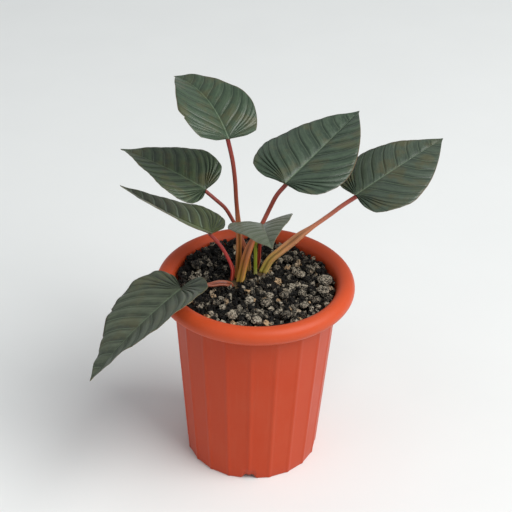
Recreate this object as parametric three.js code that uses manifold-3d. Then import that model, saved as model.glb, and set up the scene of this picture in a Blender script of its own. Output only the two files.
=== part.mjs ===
// Potted homalomena: a young foliage plant in a ribbed plastic pot of black volcanic cinders.
// Millimetres, +Z up. The group is shifted at the end, so that the origin is the middle of
// the whole object's footprint, on the ground.
import * as THREE from "three";
import Module from "manifold-3d";

const wasm = await Module();
wasm.setup();

// ---- Pot ----
const POT_HEIGHT = 186.5;
const RIM_RADIUS = 90; // outside of the rolled rim
const BEAD_RADIUS = 8.25; // tube radius of the rolled rim
const BODY_TOP_RADIUS = RIM_RADIUS - 2 * BEAD_RADIUS + 0.5; // outside, under the rim
const TAPER = 13; // the body's outside comes in by this much down to the foot
const BASE_RADIUS = BODY_TOP_RADIUS - TAPER; // outside of the foot
const WALL = 2.1;
const LIP_DROP = BEAD_RADIUS + 1.95; // the rim's lower lip, below the middle of the bead
const LIP_INSET = BEAD_RADIUS - 0.25; // the lip's outside, in from the rim's outside
const PANELS = 20; // flat panels round the body, a low rib between each two
const PANEL_PHASE = -91.5; // degrees: one rib is on this bearing
const RIB_HALF_ANGLE = 3; // degrees
const RIB_RISE = 0.35;
const FLOOR_RAISE = 6.5; // underside of the floor, above the ground
const FLOOR_THICKNESS = 2.2;
const FOOT_WIDTH = 3.2;
const NOTCH_COUNT = 3;
const NOTCH_WIDTH = 16; // at the ground
const NOTCH_TOP_WIDTH = 7;
const NOTCH_HEIGHT = 5.5;
const DRAIN_COUNT = 6;
const DRAIN_RADIUS = 4;
const DRAIN_RING_RADIUS = 0.59 * BASE_RADIUS;

// ---- Growing medium and crown ----
const CLEARANCE = 0.3; // between pieces that rest on or in each other
const SOIL_DEPTH = 11; // below the top of the rim, at the front
const SOIL_BANK = 6; // the bed rises this much more towards the back left
const SOIL_BANK_BEARING = 125; // degrees
const SOIL_LUMP = 0.9;
const CROWN_CENTRE = [-9, 14.4];
const CROWN_BEARING = 42;
const CROWN_LENGTH = 52;
const CROWN_WIDTH = 24;
const CROWN_DEPTH = 11;
const CROWN_PROUD = 0.5; // the crown's top, above the bed round it

// ---- Leaves ----
// Each blade: base = where its stalk meets it, on axes through the pot's middle; heading =
// bearing of the midrib; rise = slope of the midrib at the base; roll = turn about the
// midrib; droop, sway, twist = bend down, bend to the left and turn along the whole
// midrib; cup = rise of each half from the midrib; curl = more of it by the margin;
// lobe = slope of the two rear lobes; reach = how far back they go; skew = left wider.
// Lengths in mm, angles in degrees, heights above the bed. Each stalk: radii of its sheath
// and its bare top, the share of its length that is sheath, and its route: its foot, in
// half lengths and half widths of the crown, then the points that it passes on the way up.
// A leaf that goes over the rim has its places in rim radii and its heights in soil depths.
const LEAVES = [
  {
    name: "leaf_top",
    base: [-26, 12, 143.5],
    heading: 114,
    rise: 33,
    roll: 3,
    length: 102,
    width: 73,
    droop: 45,
    sway: 13,
    twist: 5,
    cup: 22,
    curl: -10,
    lobe: 30,
    reach: 0,
    skew: 0.1,
    stalk: [2.6, 1.9, 0.55],
    route: [
      [-0.26, 0.3],
      [-15.8, 11.5, 20.2],
      [-15.7, 11.3, 41.6],
      [-16.9, 11.4, 62.4],
      [-18.7, 11.4, 82.9],
      [-20.1, 11.6, 103],
      [-22.6, 11.8, 122.7],
    ],
  },
  {
    name: "leaf_left",
    base: [-46, 22, 87],
    heading: 157,
    rise: 20,
    roll: -13,
    length: 90,
    width: 71,
    droop: 18,
    sway: -5,
    twist: 25,
    cup: 13,
    curl: 0,
    lobe: 5,
    reach: 0.1,
    skew: 0,
    stalk: [2, 1.7, 0.4],
    route: [
      [0.35, 0.46],
      [-7.3, 23.5, 15.2],
      [-11.2, 23, 29.3],
      [-16.4, 22.5, 43.2],
      [-22.4, 22, 56.9],
      [-28.8, 22, 68.2],
      [-37.8, 22, 77.2],
    ],
  },
  {
    name: "leaf_left_low",
    base: [-40, 10, 49.5],
    heading: 157,
    rise: 9,
    roll: 20,
    length: 97,
    width: 75,
    droop: -11,
    sway: 0,
    twist: 7,
    cup: 11,
    curl: 6,
    lobe: 4,
    reach: 0.2,
    skew: 0,
    stalk: [1.9, 1.6, 0.4],
    route: [
      [-0.52, 0.3],
      [-20.9, 8, 11.5],
      [-25.3, 8.5, 23.9],
      [-32.6, 9.3, 37],
    ],
  },
  {
    name: "leaf_right",
    base: [24, 12, 101],
    heading: 50,
    rise: 16.5,
    roll: 3.5,
    length: 117,
    width: 93,
    droop: 7,
    sway: 7,
    twist: -8,
    cup: 20,
    curl: -32,
    lobe: 5,
    reach: 0.3,
    skew: 0,
    stalk: [3.6, 2, 0.5],
    route: [
      [-0.38, -0.3],
      [-9, 5.8, 27.3],
      [-4.4, 6.8, 41.6],
      [5.4, 8.5, 62.7],
      [11.2, 9.8, 76.6],
      [17, 11, 89.3],
    ],
  },
  {
    name: "leaf_far_right",
    base: [86, 10, 92],
    heading: 30,
    rise: 23.5,
    roll: 0.5,
    length: 104,
    width: 82,
    droop: 18,
    sway: 11,
    twist: 18,
    cup: 6,
    curl: -15,
    lobe: 5,
    reach: 0,
    skew: -0.06,
    stalk: [3.9, 2, 0.62],
    route: [
      [0.66, -0.38],
      [12.8, 21.5, 14.6],
      [21.6, 20, 25],
      [30.4, 19, 34.4],
      [39, 17.5, 44.1],
      [47.7, 16, 52.6],
      [65.5, 13, 70.1],
      [73.9, 11.5, 78.9],
    ],
  },
  {
    name: "leaf_young",
    base: [5.7, -6, 69.5],
    heading: -91,
    rise: 29.5,
    roll: 11,
    length: 72,
    width: 58.5,
    droop: 33,
    sway: 7,
    twist: 8,
    cup: 18,
    curl: -17,
    lobe: 0,
    reach: 1,
    skew: -0.07,
    stalk: [1.7, 1.5, 0.4],
    route: [
      [0.6, 0.23],
      [2.3, 24, 10.8],
      [3, 19, 26.9],
      [3.4, 12.6, 40],
      [5.3, 3.2, 57.5],
    ],
  },
  {
    name: "leaf_drooping",
    overRim: true,
    base: [-0.7256, -0.3889, 1.682],
    heading: 230,
    rise: -8.5,
    roll: 16.5,
    length: 117,
    width: 91,
    droop: 27,
    sway: -18.5,
    twist: 7,
    cup: 15.5,
    curl: -4,
    lobe: 29,
    reach: 0.8,
    skew: 0.03,
    stalk: [2.6, 1.9, 0.5],
    route: [
      [-0.75, -0.26],
      [-0.2889, -0.0611, 0.482],
      [-0.3533, -0.0822, 0.627],
      [-0.4411, -0.1444, 0.8],
      [-0.5478, -0.2089, 1.027],
    ],
  },
];
const BLADE_THICKNESS = [1.1, 0.7]; // at the midrib, at the margin
const SPEAR = {
  radii: [1.6, 0.5, 1],
  route: [
    [0.35, -0.23],
    [-0.6, 18.5, 21.5],
    [-0.6, 18, 36.5],
  ],
};

// Half of a blade's outline: distance along the midrib in lengths, from it in half widths.
const OUTLINE = [
  [0, 0],
  [-0.045, 0.15],
  [-0.085, 0.36],
  [-0.085, 0.6],
  [-0.02, 0.83],
  [0.1, 0.97],
  [0.25, 1],
  [0.42, 0.9],
  [0.6, 0.68],
  [0.76, 0.42],
  [0.88, 0.2],
  [0.95, 0.07],
  [1, 0],
];
const VEIN_ROWS = 20;
const VEIN_STEPS = 4; // from the midrib to the margin
const VEINS_FAN = 0.42; // this share of the outline's veins start at the base itself
const VEIN_BACK_BOW = 0.05; // how far a vein bows back, in blade lengths

// ---- Coarse cinders that lie on the bed: bearing, then distance from the middle and
// size in bed radii ----
const CINDERS = [
  [3, 0.857, 0.17],
  [-12, 0.844, 0.163],
  [-25, 0.816, 0.136],
  [-38, 0.748, 0.122],
  [-20, 0.612, 0.122],
  [-62, 0.789, 0.143],
  [-88, 0.816, 0.129],
  [-110, 0.776, 0.122],
  [-75, 0.49, 0.136],
  [-100, 0.408, 0.122],
  [-58, 0.327, 0.122],
  [-38, 0.449, 0.136],
  [-135, 0.653, 0.116],
  [20, 0.599, 0.116],
  [55, 0.707, 0.129],
  [95, 0.748, 0.122],
  [128, 0.612, 0.122],
  [160, 0.789, 0.136],
];
const CINDER_TONES = [0x4a4a48, 0x6b6660, 0x33322f];
const CINDER_SEAT = 0.55; // gap under a cinder, wide enough for the bed's facets

const COLOURS = {
  terracotta: 0xc9502f,
  soil: 0x24221f,
  crown: 0x8a7a3c,
  blade: 0x3c5240,
  stalk: 0x7c3a30,
  spear: 0x8fa02c,
};

const radians = THREE.MathUtils.degToRad;
const mix = THREE.MathUtils.lerp;
const soilLevel = POT_HEIGHT - SOIL_DEPTH;
const crownTop = soilLevel + CROWN_PROUD;
const innerTopRadius = RIM_RADIUS - 2 * BEAD_RADIUS;
const floorTop = FLOOR_RAISE + FLOOR_THICKNESS;

function material(colour, roughness) {
  return new THREE.MeshStandardMaterial({ color: colour, roughness, metalness: 0 });
}

// A mesh from points and triangles.
function meshOf(name, points, triangles, look) {
  const geometry = new THREE.BufferGeometry();
  geometry.setAttribute("position", new THREE.Float32BufferAttribute(points.flat(), 3));
  geometry.setIndex(triangles);
  geometry.computeVertexNormals();
  const mesh = new THREE.Mesh(geometry, look);
  mesh.name = name;
  return mesh;
}

function solidOf(mesh) {
  return new wasm.Manifold(
    new wasm.Mesh({
      numProp: 3,
      vertProperties: new Float32Array(mesh.geometry.attributes.position.array),
      triVerts: new Uint32Array(mesh.geometry.index.array),
    }),
  );
}

// The first solid less all the others, as a mesh of the same name and look.
function cut(mesh, tools) {
  let solid = solidOf(mesh);
  for (const tool of tools) {
    solid = solid.subtract(solidOf(tool));
  }
  const left = solid.getMesh();
  const points = [];
  for (let i = 0; i < left.numVert; i++) {
    points.push([...left.vertProperties.subarray(i * left.numProp, i * left.numProp + 3)]);
  }
  return meshOf(mesh.name, points, [...left.triVerts], mesh.material);
}

// Joins rings of equally many points, in order, into a closed solid with a flat fan on
// each end. Rings run anticlockwise as seen from the far end.
function loft(name, rings, look) {
  const count = rings[0].length;
  const points = rings.flat();
  const triangles = [];
  for (let i = 0; i < rings.length - 1; i++) {
    for (let j = 0; j < count; j++) {
      const a = i * count + j;
      const b = i * count + ((j + 1) % count);
      triangles.push(a, b, b + count, a, b + count, a + count);
    }
  }
  const middle = (ring) => [0, 1, 2].map((k) => ring.reduce((s, p) => s + p[k], 0) / count);
  const first = points.push(middle(rings[0])) - 1;
  const last = points.push(middle(rings.at(-1))) - 1;
  const start = (rings.length - 1) * count;
  for (let j = 0; j < count; j++) {
    const next = (j + 1) % count;
    triangles.push(first, next, j);
    triangles.push(last, start + j, start + next);
  }
  return meshOf(name, points, triangles, look);
}

// ---- Pot ----

// Bearings of the pot's facets: each rib's two edges and peak, and two on the flat between.
function potBearings() {
  const pitch = 360 / PANELS;
  const flat = pitch - 2 * RIB_HALF_ANGLE;
  const offsets = [-RIB_HALF_ANGLE, 0, RIB_HALF_ANGLE];
  offsets.push(RIB_HALF_ANGLE + flat / 3, RIB_HALF_ANGLE + (2 * flat) / 3);
  const bearings = [];
  for (let i = 0; i < PANELS; i++) {
    for (const offset of offsets) {
      bearings.push({ angle: radians(PANEL_PHASE + i * pitch + offset), offset });
    }
  }
  return bearings;
}

// How far the ribbed body differs from its round radius on one bearing.
function ribbing(radius, offset) {
  if (offset === 0) {
    return RIB_RISE;
  }
  const halfPanel = 180 / PANELS - RIB_HALF_ANGLE;
  const fromMiddle = Math.min(halfPanel, Math.abs(offset - 180 / PANELS));
  const chord = Math.cos(radians(halfPanel)) / Math.cos(radians(fromMiddle));
  return radius * (chord - 1);
}

// Inner radius of the wall at a height.
function innerRadius(z) {
  const beadMiddle = POT_HEIGHT - BEAD_RADIUS;
  return mix(BASE_RADIUS - WALL, innerTopRadius - 1, z / beadMiddle);
}

function makePot() {
  const beadMiddle = POT_HEIGHT - BEAD_RADIUS;
  const beadCentre = RIM_RADIUS - BEAD_RADIUS;
  const lip = beadMiddle - LIP_DROP;
  const lipRadius = RIM_RADIUS - LIP_INSET;
  const hollow = BEAD_RADIUS - WALL;
  const footInside = BASE_RADIUS - FOOT_WIDTH;
  // Radius, height and share of the ribbing, from the floor's underside out, up, over
  // the rim and down the inside to the floor.
  const profile = [
    [footInside - 1, FLOOR_RAISE, 0],
    [footInside, 0, 0],
    [BASE_RADIUS - 0.4, 0, 1],
    [BASE_RADIUS, 0.8, 1],
    [BODY_TOP_RADIUS, lip, 1],
    [BODY_TOP_RADIUS + 0.2, beadMiddle, 0],
  ];
  for (const turn of [150, 110, 70, 30, -10, -50]) {
    const a = radians(turn);
    profile.push([beadCentre + hollow * Math.cos(a), beadMiddle + hollow * Math.sin(a), 0]);
  }
  profile.push([lipRadius - WALL, lip + 1, 0], [lipRadius - WALL, lip, 0], [lipRadius, lip, 0]);
  for (let turn = -60; turn <= 180; turn += 30) {
    const a = radians(turn);
    profile.push([
      beadCentre + BEAD_RADIUS * Math.cos(a),
      beadMiddle + BEAD_RADIUS * Math.sin(a),
      0,
    ]);
  }
  profile.push([innerRadius(floorTop), floorTop, 0]);
  const rings = profile.map(([r, z, share]) =>
    potBearings().map(({ angle, offset }) => {
      const radius = r + share * ribbing(r, offset);
      return [radius * Math.cos(angle), radius * Math.sin(angle), z];
    }),
  );
  const body = loft("pot", rings, material(COLOURS.terracotta, 0.42));
  return cut(body, [...notchTools(), ...drainTools()]);
}

// Blocks that open the arched notches in the foot.
function notchTools() {
  const near = BASE_RADIUS - 2 * FOOT_WIDTH;
  const far = BASE_RADIUS + FOOT_WIDTH;
  const section = [
    [-NOTCH_WIDTH / 2 - 0.5, -1],
    [NOTCH_WIDTH / 2 + 0.5, -1],
    [NOTCH_WIDTH / 2 - 1, NOTCH_HEIGHT * 0.45],
    [NOTCH_TOP_WIDTH / 2, NOTCH_HEIGHT],
    [-NOTCH_TOP_WIDTH / 2, NOTCH_HEIGHT],
    [-NOTCH_WIDTH / 2 + 1, NOTCH_HEIGHT * 0.45],
  ];
  return Array.from({ length: NOTCH_COUNT }, (_, i) => {
    const angle = radians(PANEL_PHASE + (i * 360) / NOTCH_COUNT);
    const out = [Math.cos(angle), Math.sin(angle)];
    const ring = (r) =>
      section.map(([y, z]) => [r * out[0] - y * out[1], r * out[1] + y * out[0], z]);
    return loft("notch", [ring(near), ring(far)], null);
  });
}

// Round rods that open the drain holes in the floor.
function drainTools() {
  const sides = 16;
  const rod = (cx, cy) => {
    const ring = (z) =>
      Array.from({ length: sides }, (_, j) => {
        const a = (2 * Math.PI * j) / sides;
        return [cx + DRAIN_RADIUS * Math.cos(a), cy + DRAIN_RADIUS * Math.sin(a), z];
      });
    return loft("drain", [ring(FLOOR_RAISE - 1), ring(floorTop + 1)], null);
  };
  return Array.from({ length: DRAIN_COUNT }, (_, i) => {
    const a = radians(PANEL_PHASE + 30 + (i * 360) / DRAIN_COUNT);
    return rod(DRAIN_RING_RADIUS * Math.cos(a), DRAIN_RING_RADIUS * Math.sin(a));
  });
}

// ---- Growing medium and crown ----

// Height of the bed's top.
function soilHeight(x, y) {
  const bearing = radians(SOIL_BANK_BEARING);
  const along = (x * Math.cos(bearing) + y * Math.sin(bearing)) / innerTopRadius;
  const bank = SOIL_BANK * THREE.MathUtils.smoothstep(along, 0.2, 1);
  const fromCrown = Math.hypot(x - CROWN_CENTRE[0], y - CROWN_CENTRE[1]);
  const lumps = Math.sin(x * 0.31 + 1) * Math.sin(y * 0.27 + 2);
  const calm = THREE.MathUtils.smoothstep(fromCrown, CROWN_WIDTH, CROWN_LENGTH);
  return soilLevel + bank + SOIL_LUMP * lumps * calm;
}

function crownRings(grow) {
  const sides = 28;
  const bearing = radians(CROWN_BEARING);
  const ring = (share, z) =>
    Array.from({ length: sides }, (_, j) => {
      const a = (2 * Math.PI * j) / sides;
      const along = (share * CROWN_LENGTH * 0.5 + grow) * Math.cos(a);
      const across = (share * CROWN_WIDTH * 0.5 + grow) * Math.sin(a);
      return [
        CROWN_CENTRE[0] + along * Math.cos(bearing) - across * Math.sin(bearing),
        CROWN_CENTRE[1] + along * Math.sin(bearing) + across * Math.cos(bearing),
        z,
      ];
    });
  const bottom = crownTop - CROWN_DEPTH;
  const top = grow > 0 ? crownTop + CROWN_DEPTH : crownTop;
  const rings = [ring(0.55, bottom - grow), ring(0.9, bottom + CROWN_DEPTH * 0.35)];
  rings.push(ring(1, crownTop - 1.5));
  rings.push(ring(grow > 0 ? 1 : 0.95, top));
  return rings;
}

function makeSubstrate() {
  const sides = 60;
  const shares = [1, 0.91, 0.82, 0.73, 0.64, 0.55, 0.44, 0.3, 0.14];
  const bottom = floorTop + CLEARANCE;
  const gap = CLEARANCE + 0.15;
  const circle = (radius, height) =>
    Array.from({ length: sides }, (_, j) => {
      const a = (2 * Math.PI * j) / sides;
      const x = radius * Math.cos(a);
      const y = radius * Math.sin(a);
      return [x, y, height ?? soilHeight(x, y)];
    });
  const topRadius = innerRadius(soilLevel) - gap;
  const rings = [circle(innerRadius(bottom) - gap, bottom)];
  for (const share of shares) {
    rings.push(circle(topRadius * share));
  }
  const bed = loft("substrate", rings, material(COLOURS.soil, 0.95));
  return cut(bed, [loft("pocket", crownRings(CLEARANCE), null)]);
}

function makeCrown() {
  return loft("crown", crownRings(0), material(COLOURS.crown, 0.7));
}

// A number between 0 and 1 that is always the same for the same seed.
function noise(seed) {
  const s = Math.sin(seed * 127.1) * 43758.5453;
  return s - Math.floor(s);
}

function makeCinder(index) {
  const bearing = CINDERS[index][0];
  const distance = CINDERS[index][1] * innerTopRadius;
  const size = CINDERS[index][2] * innerTopRadius;
  const ball = new THREE.IcosahedronGeometry(1, 1);
  const source = ball.getAttribute("position");
  const points = [];
  const triangles = [];
  const seen = new Map();
  for (let i = 0; i < source.count; i++) {
    const d = [source.getX(i), source.getY(i), source.getZ(i)];
    const key = d.map((c) => c.toFixed(3)).join();
    if (!seen.has(key)) {
      const n = seen.size;
      const r = (size / 2) * (0.82 + 0.3 * noise(index * 61 + n));
      const squash = [1, 0.85 + 0.2 * noise(index + 7), 0.78];
      seen.set(key, points.push(d.map((c, k) => c * r * squash[k])) - 1);
    }
    triangles.push(seen.get(key));
  }
  const x = distance * Math.cos(radians(bearing));
  const y = distance * Math.sin(radians(bearing));
  const lowest = Math.max(...points.map((p) => soilHeight(x + p[0], y + p[1]) - p[2]));
  const placed = points.map((p) => [p[0] + x, p[1] + y, p[2] + lowest + CINDER_SEAT]);
  const look = material(CINDER_TONES[index % CINDER_TONES.length], 0.95);
  const number = String(index + 1).padStart(2, "0");
  return meshOf("cinder_" + number, placed, triangles, look);
}

// ---- Leaves ----

// A stated place on axes through the pot's middle, with its height above the ground.
function placeOf([x, y, z], overRim) {
  const across = overRim ? RIM_RADIUS : 1;
  return new THREE.Vector3(x * across, y * across, soilLevel + z * (overRim ? SOIL_DEPTH : 1));
}

// Position and axes along a blade's midrib: t ahead, s to the left, n up from the face.
function midribFrames(leaf, steps = 40) {
  const h = radians(leaf.heading);
  const r = radians(leaf.rise);
  const t = new THREE.Vector3(Math.cos(h) * Math.cos(r), Math.sin(h) * Math.cos(r), Math.sin(r));
  const s = new THREE.Vector3(-Math.sin(h), Math.cos(h), 0).applyAxisAngle(t, radians(leaf.roll));
  const n = t.clone().cross(s);
  const p = placeOf(leaf.base, leaf.overRim);
  const frames = [{ p: p.clone(), t: t.clone(), s: s.clone(), n: n.clone() }];
  for (let i = 0; i < steps; i++) {
    p.addScaledVector(t, leaf.length / steps);
    t.applyAxisAngle(s, radians(leaf.droop) / steps);
    n.applyAxisAngle(s, radians(leaf.droop) / steps);
    t.applyAxisAngle(n, radians(leaf.sway) / steps);
    s.applyAxisAngle(n, radians(leaf.sway) / steps);
    s.applyAxisAngle(t, radians(leaf.twist) / steps);
    n.applyAxisAngle(t, radians(leaf.twist) / steps);
    frames.push({ p: p.clone(), t: t.clone(), s: s.clone(), n: n.clone() });
  }
  return frames;
}

// A point of the flat blade (x in lengths, y in half widths, left positive) on the bent
// one, and the direction of its upper face there.
function bend(leaf, frames, x, y) {
  const ahead = x < 0 ? x * leaf.reach : x;
  const at = THREE.MathUtils.clamp(ahead, 0, 1) * (frames.length - 1);
  const i = Math.min(Math.floor(at), frames.length - 2);
  const f = at - i;
  const blend = (key) => frames[i][key].clone().lerp(frames[i + 1][key], f);
  const p = blend("p");
  const t = blend("t");
  const s = blend("s");
  const n = blend("n");
  const back = Math.min(ahead, 0) * leaf.length;
  p.addScaledVector(t, back * Math.cos(radians(leaf.lobe)));
  p.addScaledVector(n, -back * Math.sin(radians(leaf.lobe)));
  const side = Math.sign(y);
  const out = Math.abs(y) * leaf.width * 0.5 * (1 + side * leaf.skew);
  const first = radians(leaf.cup);
  const turn = first + (radians(leaf.curl) * Math.abs(y)) * (1 + side * leaf.skew);
  const rate = (turn - first) / Math.max(out, 1e-6);
  const straight = Math.abs(rate) < 1e-6;
  const across = straight ? out * Math.cos(first) : (Math.sin(turn) - Math.sin(first)) / rate;
  const up = straight ? out * Math.sin(first) : (Math.cos(first) - Math.cos(turn)) / rate;
  p.addScaledVector(s, side * across).addScaledVector(n, up);
  const face = n.clone().multiplyScalar(Math.cos(turn));
  face.addScaledVector(s, -side * Math.sin(turn));
  return { p, n: face.normalize() };
}

// The half outline, evenly spaced along its length.
function outlinePoints(count) {
  const curve = new THREE.CatmullRomCurve3(
    OUTLINE.map(([x, y]) => new THREE.Vector3(x, y * 0.4, 0)),
    false,
    "catmullrom",
    0.5,
  );
  return curve.getSpacedPoints(count).map((p) => [p.x, p.y / 0.4]);
}

function makeBlade(leaf) {
  const frames = midribFrames(leaf);
  const margin = outlinePoints(VEIN_ROWS);
  const top = [];
  const under = [];
  const put = (x, y, share) => {
    const { p, n } = bend(leaf, frames, x, y);
    const half = mix(BLADE_THICKNESS[0], BLADE_THICKNESS[1], share) / 2;
    top.push(p.clone().addScaledVector(n, half).toArray());
    under.push(p.addScaledVector(n, -half).toArray());
  };
  put(0, 0, 0);
  const across = 2 * VEIN_STEPS + 1;
  for (let row = 1; row < VEIN_ROWS; row++) {
    const v = row / VEIN_ROWS;
    const root = Math.max(0, (v - VEINS_FAN) / (1 - VEINS_FAN));
    const [mx, my] = margin[row];
    for (let j = -VEIN_STEPS; j <= VEIN_STEPS; j++) {
      const u = Math.abs(j) / VEIN_STEPS;
      const bow = VEIN_BACK_BOW * Math.sin(Math.PI * u) * Math.sin(Math.PI * root);
      put(mix(root, mx, u) - bow, -Math.sign(j) * my * u, u);
    }
  }
  put(1, 0, 1);
  const tip = top.length - 1;
  const below = top.length;
  const faces = [];
  const index = (row, j) => 1 + (row - 1) * across + j;
  for (let j = 0; j < across - 1; j++) {
    faces.push([0, index(1, j + 1), index(1, j)]);
    faces.push([tip, index(VEIN_ROWS - 1, j), index(VEIN_ROWS - 1, j + 1)]);
    for (let row = 1; row < VEIN_ROWS - 1; row++) {
      const a = index(row, j);
      const b = index(row, j + 1);
      faces.push([a, b, b + across], [a, b + across, a + across]);
    }
  }
  const triangles = [];
  for (const [a, b, c] of faces) {
    triangles.push(a, b, c, below + a, below + c, below + b);
  }
  const edge = [0];
  for (let row = 1; row < VEIN_ROWS; row++) {
    edge.push(index(row, 0));
  }
  edge.push(tip);
  for (let row = VEIN_ROWS - 1; row > 0; row--) {
    edge.push(index(row, across - 1));
  }
  edge.forEach((a, i) => {
    const b = edge[(i + 1) % edge.length];
    triangles.push(a, b, below + b, a, below + b, below + a);
  });
  return meshOf(leaf.name + "_blade", [...top, ...under], triangles, material(COLOURS.blade, 0.45));
}

// A point of the crown's top from its shares of the crown's half length and half width.
function crownPlace(along, across) {
  const bearing = radians(CROWN_BEARING);
  const ahead = (along * CROWN_LENGTH) / 2;
  const side = (across * CROWN_WIDTH) / 2;
  return new THREE.Vector3(
    CROWN_CENTRE[0] + ahead * Math.cos(bearing) - side * Math.sin(bearing),
    CROWN_CENTRE[1] + ahead * Math.sin(bearing) + side * Math.cos(bearing),
    crownTop + CLEARANCE,
  );
}

// The places that a stem passes, from its foot on the crown up.
function routePlaces(route, overRim) {
  const [first, ...rest] = route;
  return [crownPlace(...first), ...rest.map((point) => placeOf(point, overRim))];
}

// A tapering round stem through the given places, the first of them on the crown.
function makeStem(name, via, radii, look) {
  const sides = 10;
  const foot = via[0];
  const curve = new THREE.CatmullRomCurve3(via, false, "centripetal");
  const steps = 14;
  const rings = [];
  const side = new THREE.Vector3(1, 0, 0);
  for (let i = 0; i <= steps; i++) {
    const u = i / steps;
    const p = curve.getPointAt(u);
    const ahead = i === 0 ? new THREE.Vector3(0, 0, 1) : curve.getTangentAt(u);
    side.addScaledVector(ahead, -side.dot(ahead)).normalize();
    const other = ahead.clone().cross(side);
    const bare = THREE.MathUtils.smoothstep(u, 0.6 * radii[2], radii[2]);
    const radius = mix(radii[0], radii[1], bare);
    const ring = [];
    for (let j = 0; j < sides; j++) {
      const a = (2 * Math.PI * j) / sides;
      const q = p.clone().addScaledVector(side, radius * Math.cos(a));
      q.addScaledVector(other, radius * Math.sin(a));
      ring.push([q.x, q.y, Math.max(q.z, foot.z)]);
    }
    rings.push(ring);
  }
  return loft(name, rings, look);
}

// Where a stalk stops, just short of the underside of its blade.
function stalkEnd(leaf) {
  const { p, t, n } = midribFrames(leaf)[0];
  const before = placeOf(leaf.route.at(-1), leaf.overRim);
  const ahead = p.clone().sub(before).normalize();
  const radius = leaf.stalk[1];
  const lean = Math.sqrt(Math.max(0, 1 - ahead.dot(n) ** 2));
  const drop = BLADE_THICKNESS[0] / 2 + CLEARANCE + 0.1 + radius * lean;
  return p.clone().addScaledVector(n, -drop).addScaledVector(t, radius * 0.5);
}

function makeStalk(leaf) {
  const look = material(COLOURS.stalk, 0.5);
  const via = [...routePlaces(leaf.route, leaf.overRim), stalkEnd(leaf)];
  return makeStem(leaf.name + "_stalk", via, leaf.stalk, look);
}

const plant = new THREE.Group();
plant.name = "potted_homalomena";
plant.add(makePot(), makeSubstrate(), makeCrown());
for (const leaf of LEAVES) {
  plant.add(makeStalk(leaf), makeBlade(leaf));
}
const spearLook = material(COLOURS.spear, 0.45);
plant.add(makeStem("spear", routePlaces(SPEAR.route, false), SPEAR.radii, spearLook));
CINDERS.forEach((_, index) => plant.add(makeCinder(index)));

// The origin goes to the middle of the whole object's footprint.
const extent = new THREE.Box3().setFromObject(plant);
const middle = extent.getCenter(new THREE.Vector3());
plant.position.set(-middle.x, -middle.y, -extent.min.z);

export default plant;
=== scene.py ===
"""Looks of a potted homalomena: seven heart-shaped leaves in a ribbed pot of volcanic cinders."""
import math

import bpy
import numpy as np
from mathutils import Matrix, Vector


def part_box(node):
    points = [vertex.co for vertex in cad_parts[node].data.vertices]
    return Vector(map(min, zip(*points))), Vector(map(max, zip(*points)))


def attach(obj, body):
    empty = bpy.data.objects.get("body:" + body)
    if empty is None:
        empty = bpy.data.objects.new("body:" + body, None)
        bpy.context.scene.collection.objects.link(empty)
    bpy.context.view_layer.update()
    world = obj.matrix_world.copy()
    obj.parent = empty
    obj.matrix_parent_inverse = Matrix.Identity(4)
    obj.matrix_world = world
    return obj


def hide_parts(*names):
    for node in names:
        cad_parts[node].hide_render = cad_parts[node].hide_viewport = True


bl_info = {
    "name": "Potted Homalomena",
    "version": (1, 0, 0),
    "blender": (4, 5, 0),
    "location": "View3D > Sidebar > Homalomena",
    "description": "Builds the pot, cinders, stalks and leaves of a young potted homalomena",
    "category": "Add Mesh",
}

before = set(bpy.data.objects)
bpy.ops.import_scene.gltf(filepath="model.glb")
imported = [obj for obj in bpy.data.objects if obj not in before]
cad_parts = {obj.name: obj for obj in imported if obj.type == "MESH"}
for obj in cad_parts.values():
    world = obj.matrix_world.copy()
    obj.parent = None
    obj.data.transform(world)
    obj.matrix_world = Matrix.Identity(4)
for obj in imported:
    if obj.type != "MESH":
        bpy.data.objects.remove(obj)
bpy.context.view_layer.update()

MM = 0.001
POT_LOW, POT_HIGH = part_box("pot")
AXIS = np.array([(POT_LOW.x + POT_HIGH.x) / 2, (POT_LOW.y + POT_HIGH.y) / 2, 0.0])

# ---- Sizes of the pot and the bed, in mm, as the CAD has them ----
POT_HEIGHT = 186.5
RIM_RADIUS = 90.0
BASE_RADIUS = 61.0
BODY_TOP_RADIUS = 74.0
WALL = 2.1
BEAD_RADIUS = 8.25
LIP_DROP = 10.2
LIP_INSET = 8.0
PANELS = 20
PANEL_PHASE = -91.5
RIB_HALF_ANGLE = 3.0
RIB_RISE = 0.8
FLOOR_RAISE = 6.5
FLOOR_THICKNESS = 2.2
FOOT_WIDTH = 3.2
NOTCH_BEARINGS = (-91.5, 28.5, 148.5)
NOTCH_HALF_ANGLE = 7.6
NOTCH_FLAT_HALF_ANGLE = 2.9
NOTCH_HEIGHT = 5.5
DRAIN_COUNT = 6
DRAIN_RADIUS = 4.0
DRAIN_RING_RADIUS = 36.0
DRAIN_PHASE = -61.5
FLOOR_JOIN_RADIUS = 52.0
SOIL_LEVEL = 175.5
SOIL_BANK = 6.0
SOIL_BANK_BEARING = 125.0
INNER_TOP_RADIUS = 73.5
COARSE_CINDERS = 18

# ---- Loose and coarse cinders: lengths in mm, the rest counts, shares and seeds ----
BED_DEPTH = 8.0  # how far the height map starts under the wanted level
MAP_PITCH = 0.6
MAP_REACH = 75.0
BLOCKED = 400.0  # height of the map where a stalk stands
GRAIN_TRIES = 16
GRAIN_SQUASH = 0.8
GRAIN_SINK = 0.22
GRAIN_STANDOUT = 2.6
GRAIN_PUSH = 0.27
GRAIN_SEED = 11
PIT_SEED = 5
PITS = 34
PIT_DEPTH = 0.2
WAVE_SEED = 40
# Waves of a coarse cinder: how many, turn of phase over a radius in radians, height in radii.
CINDER_WAVES = ((6, 2.6, 0.15), (12, 7, 0.09), (30, 22, 0.035))

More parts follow.
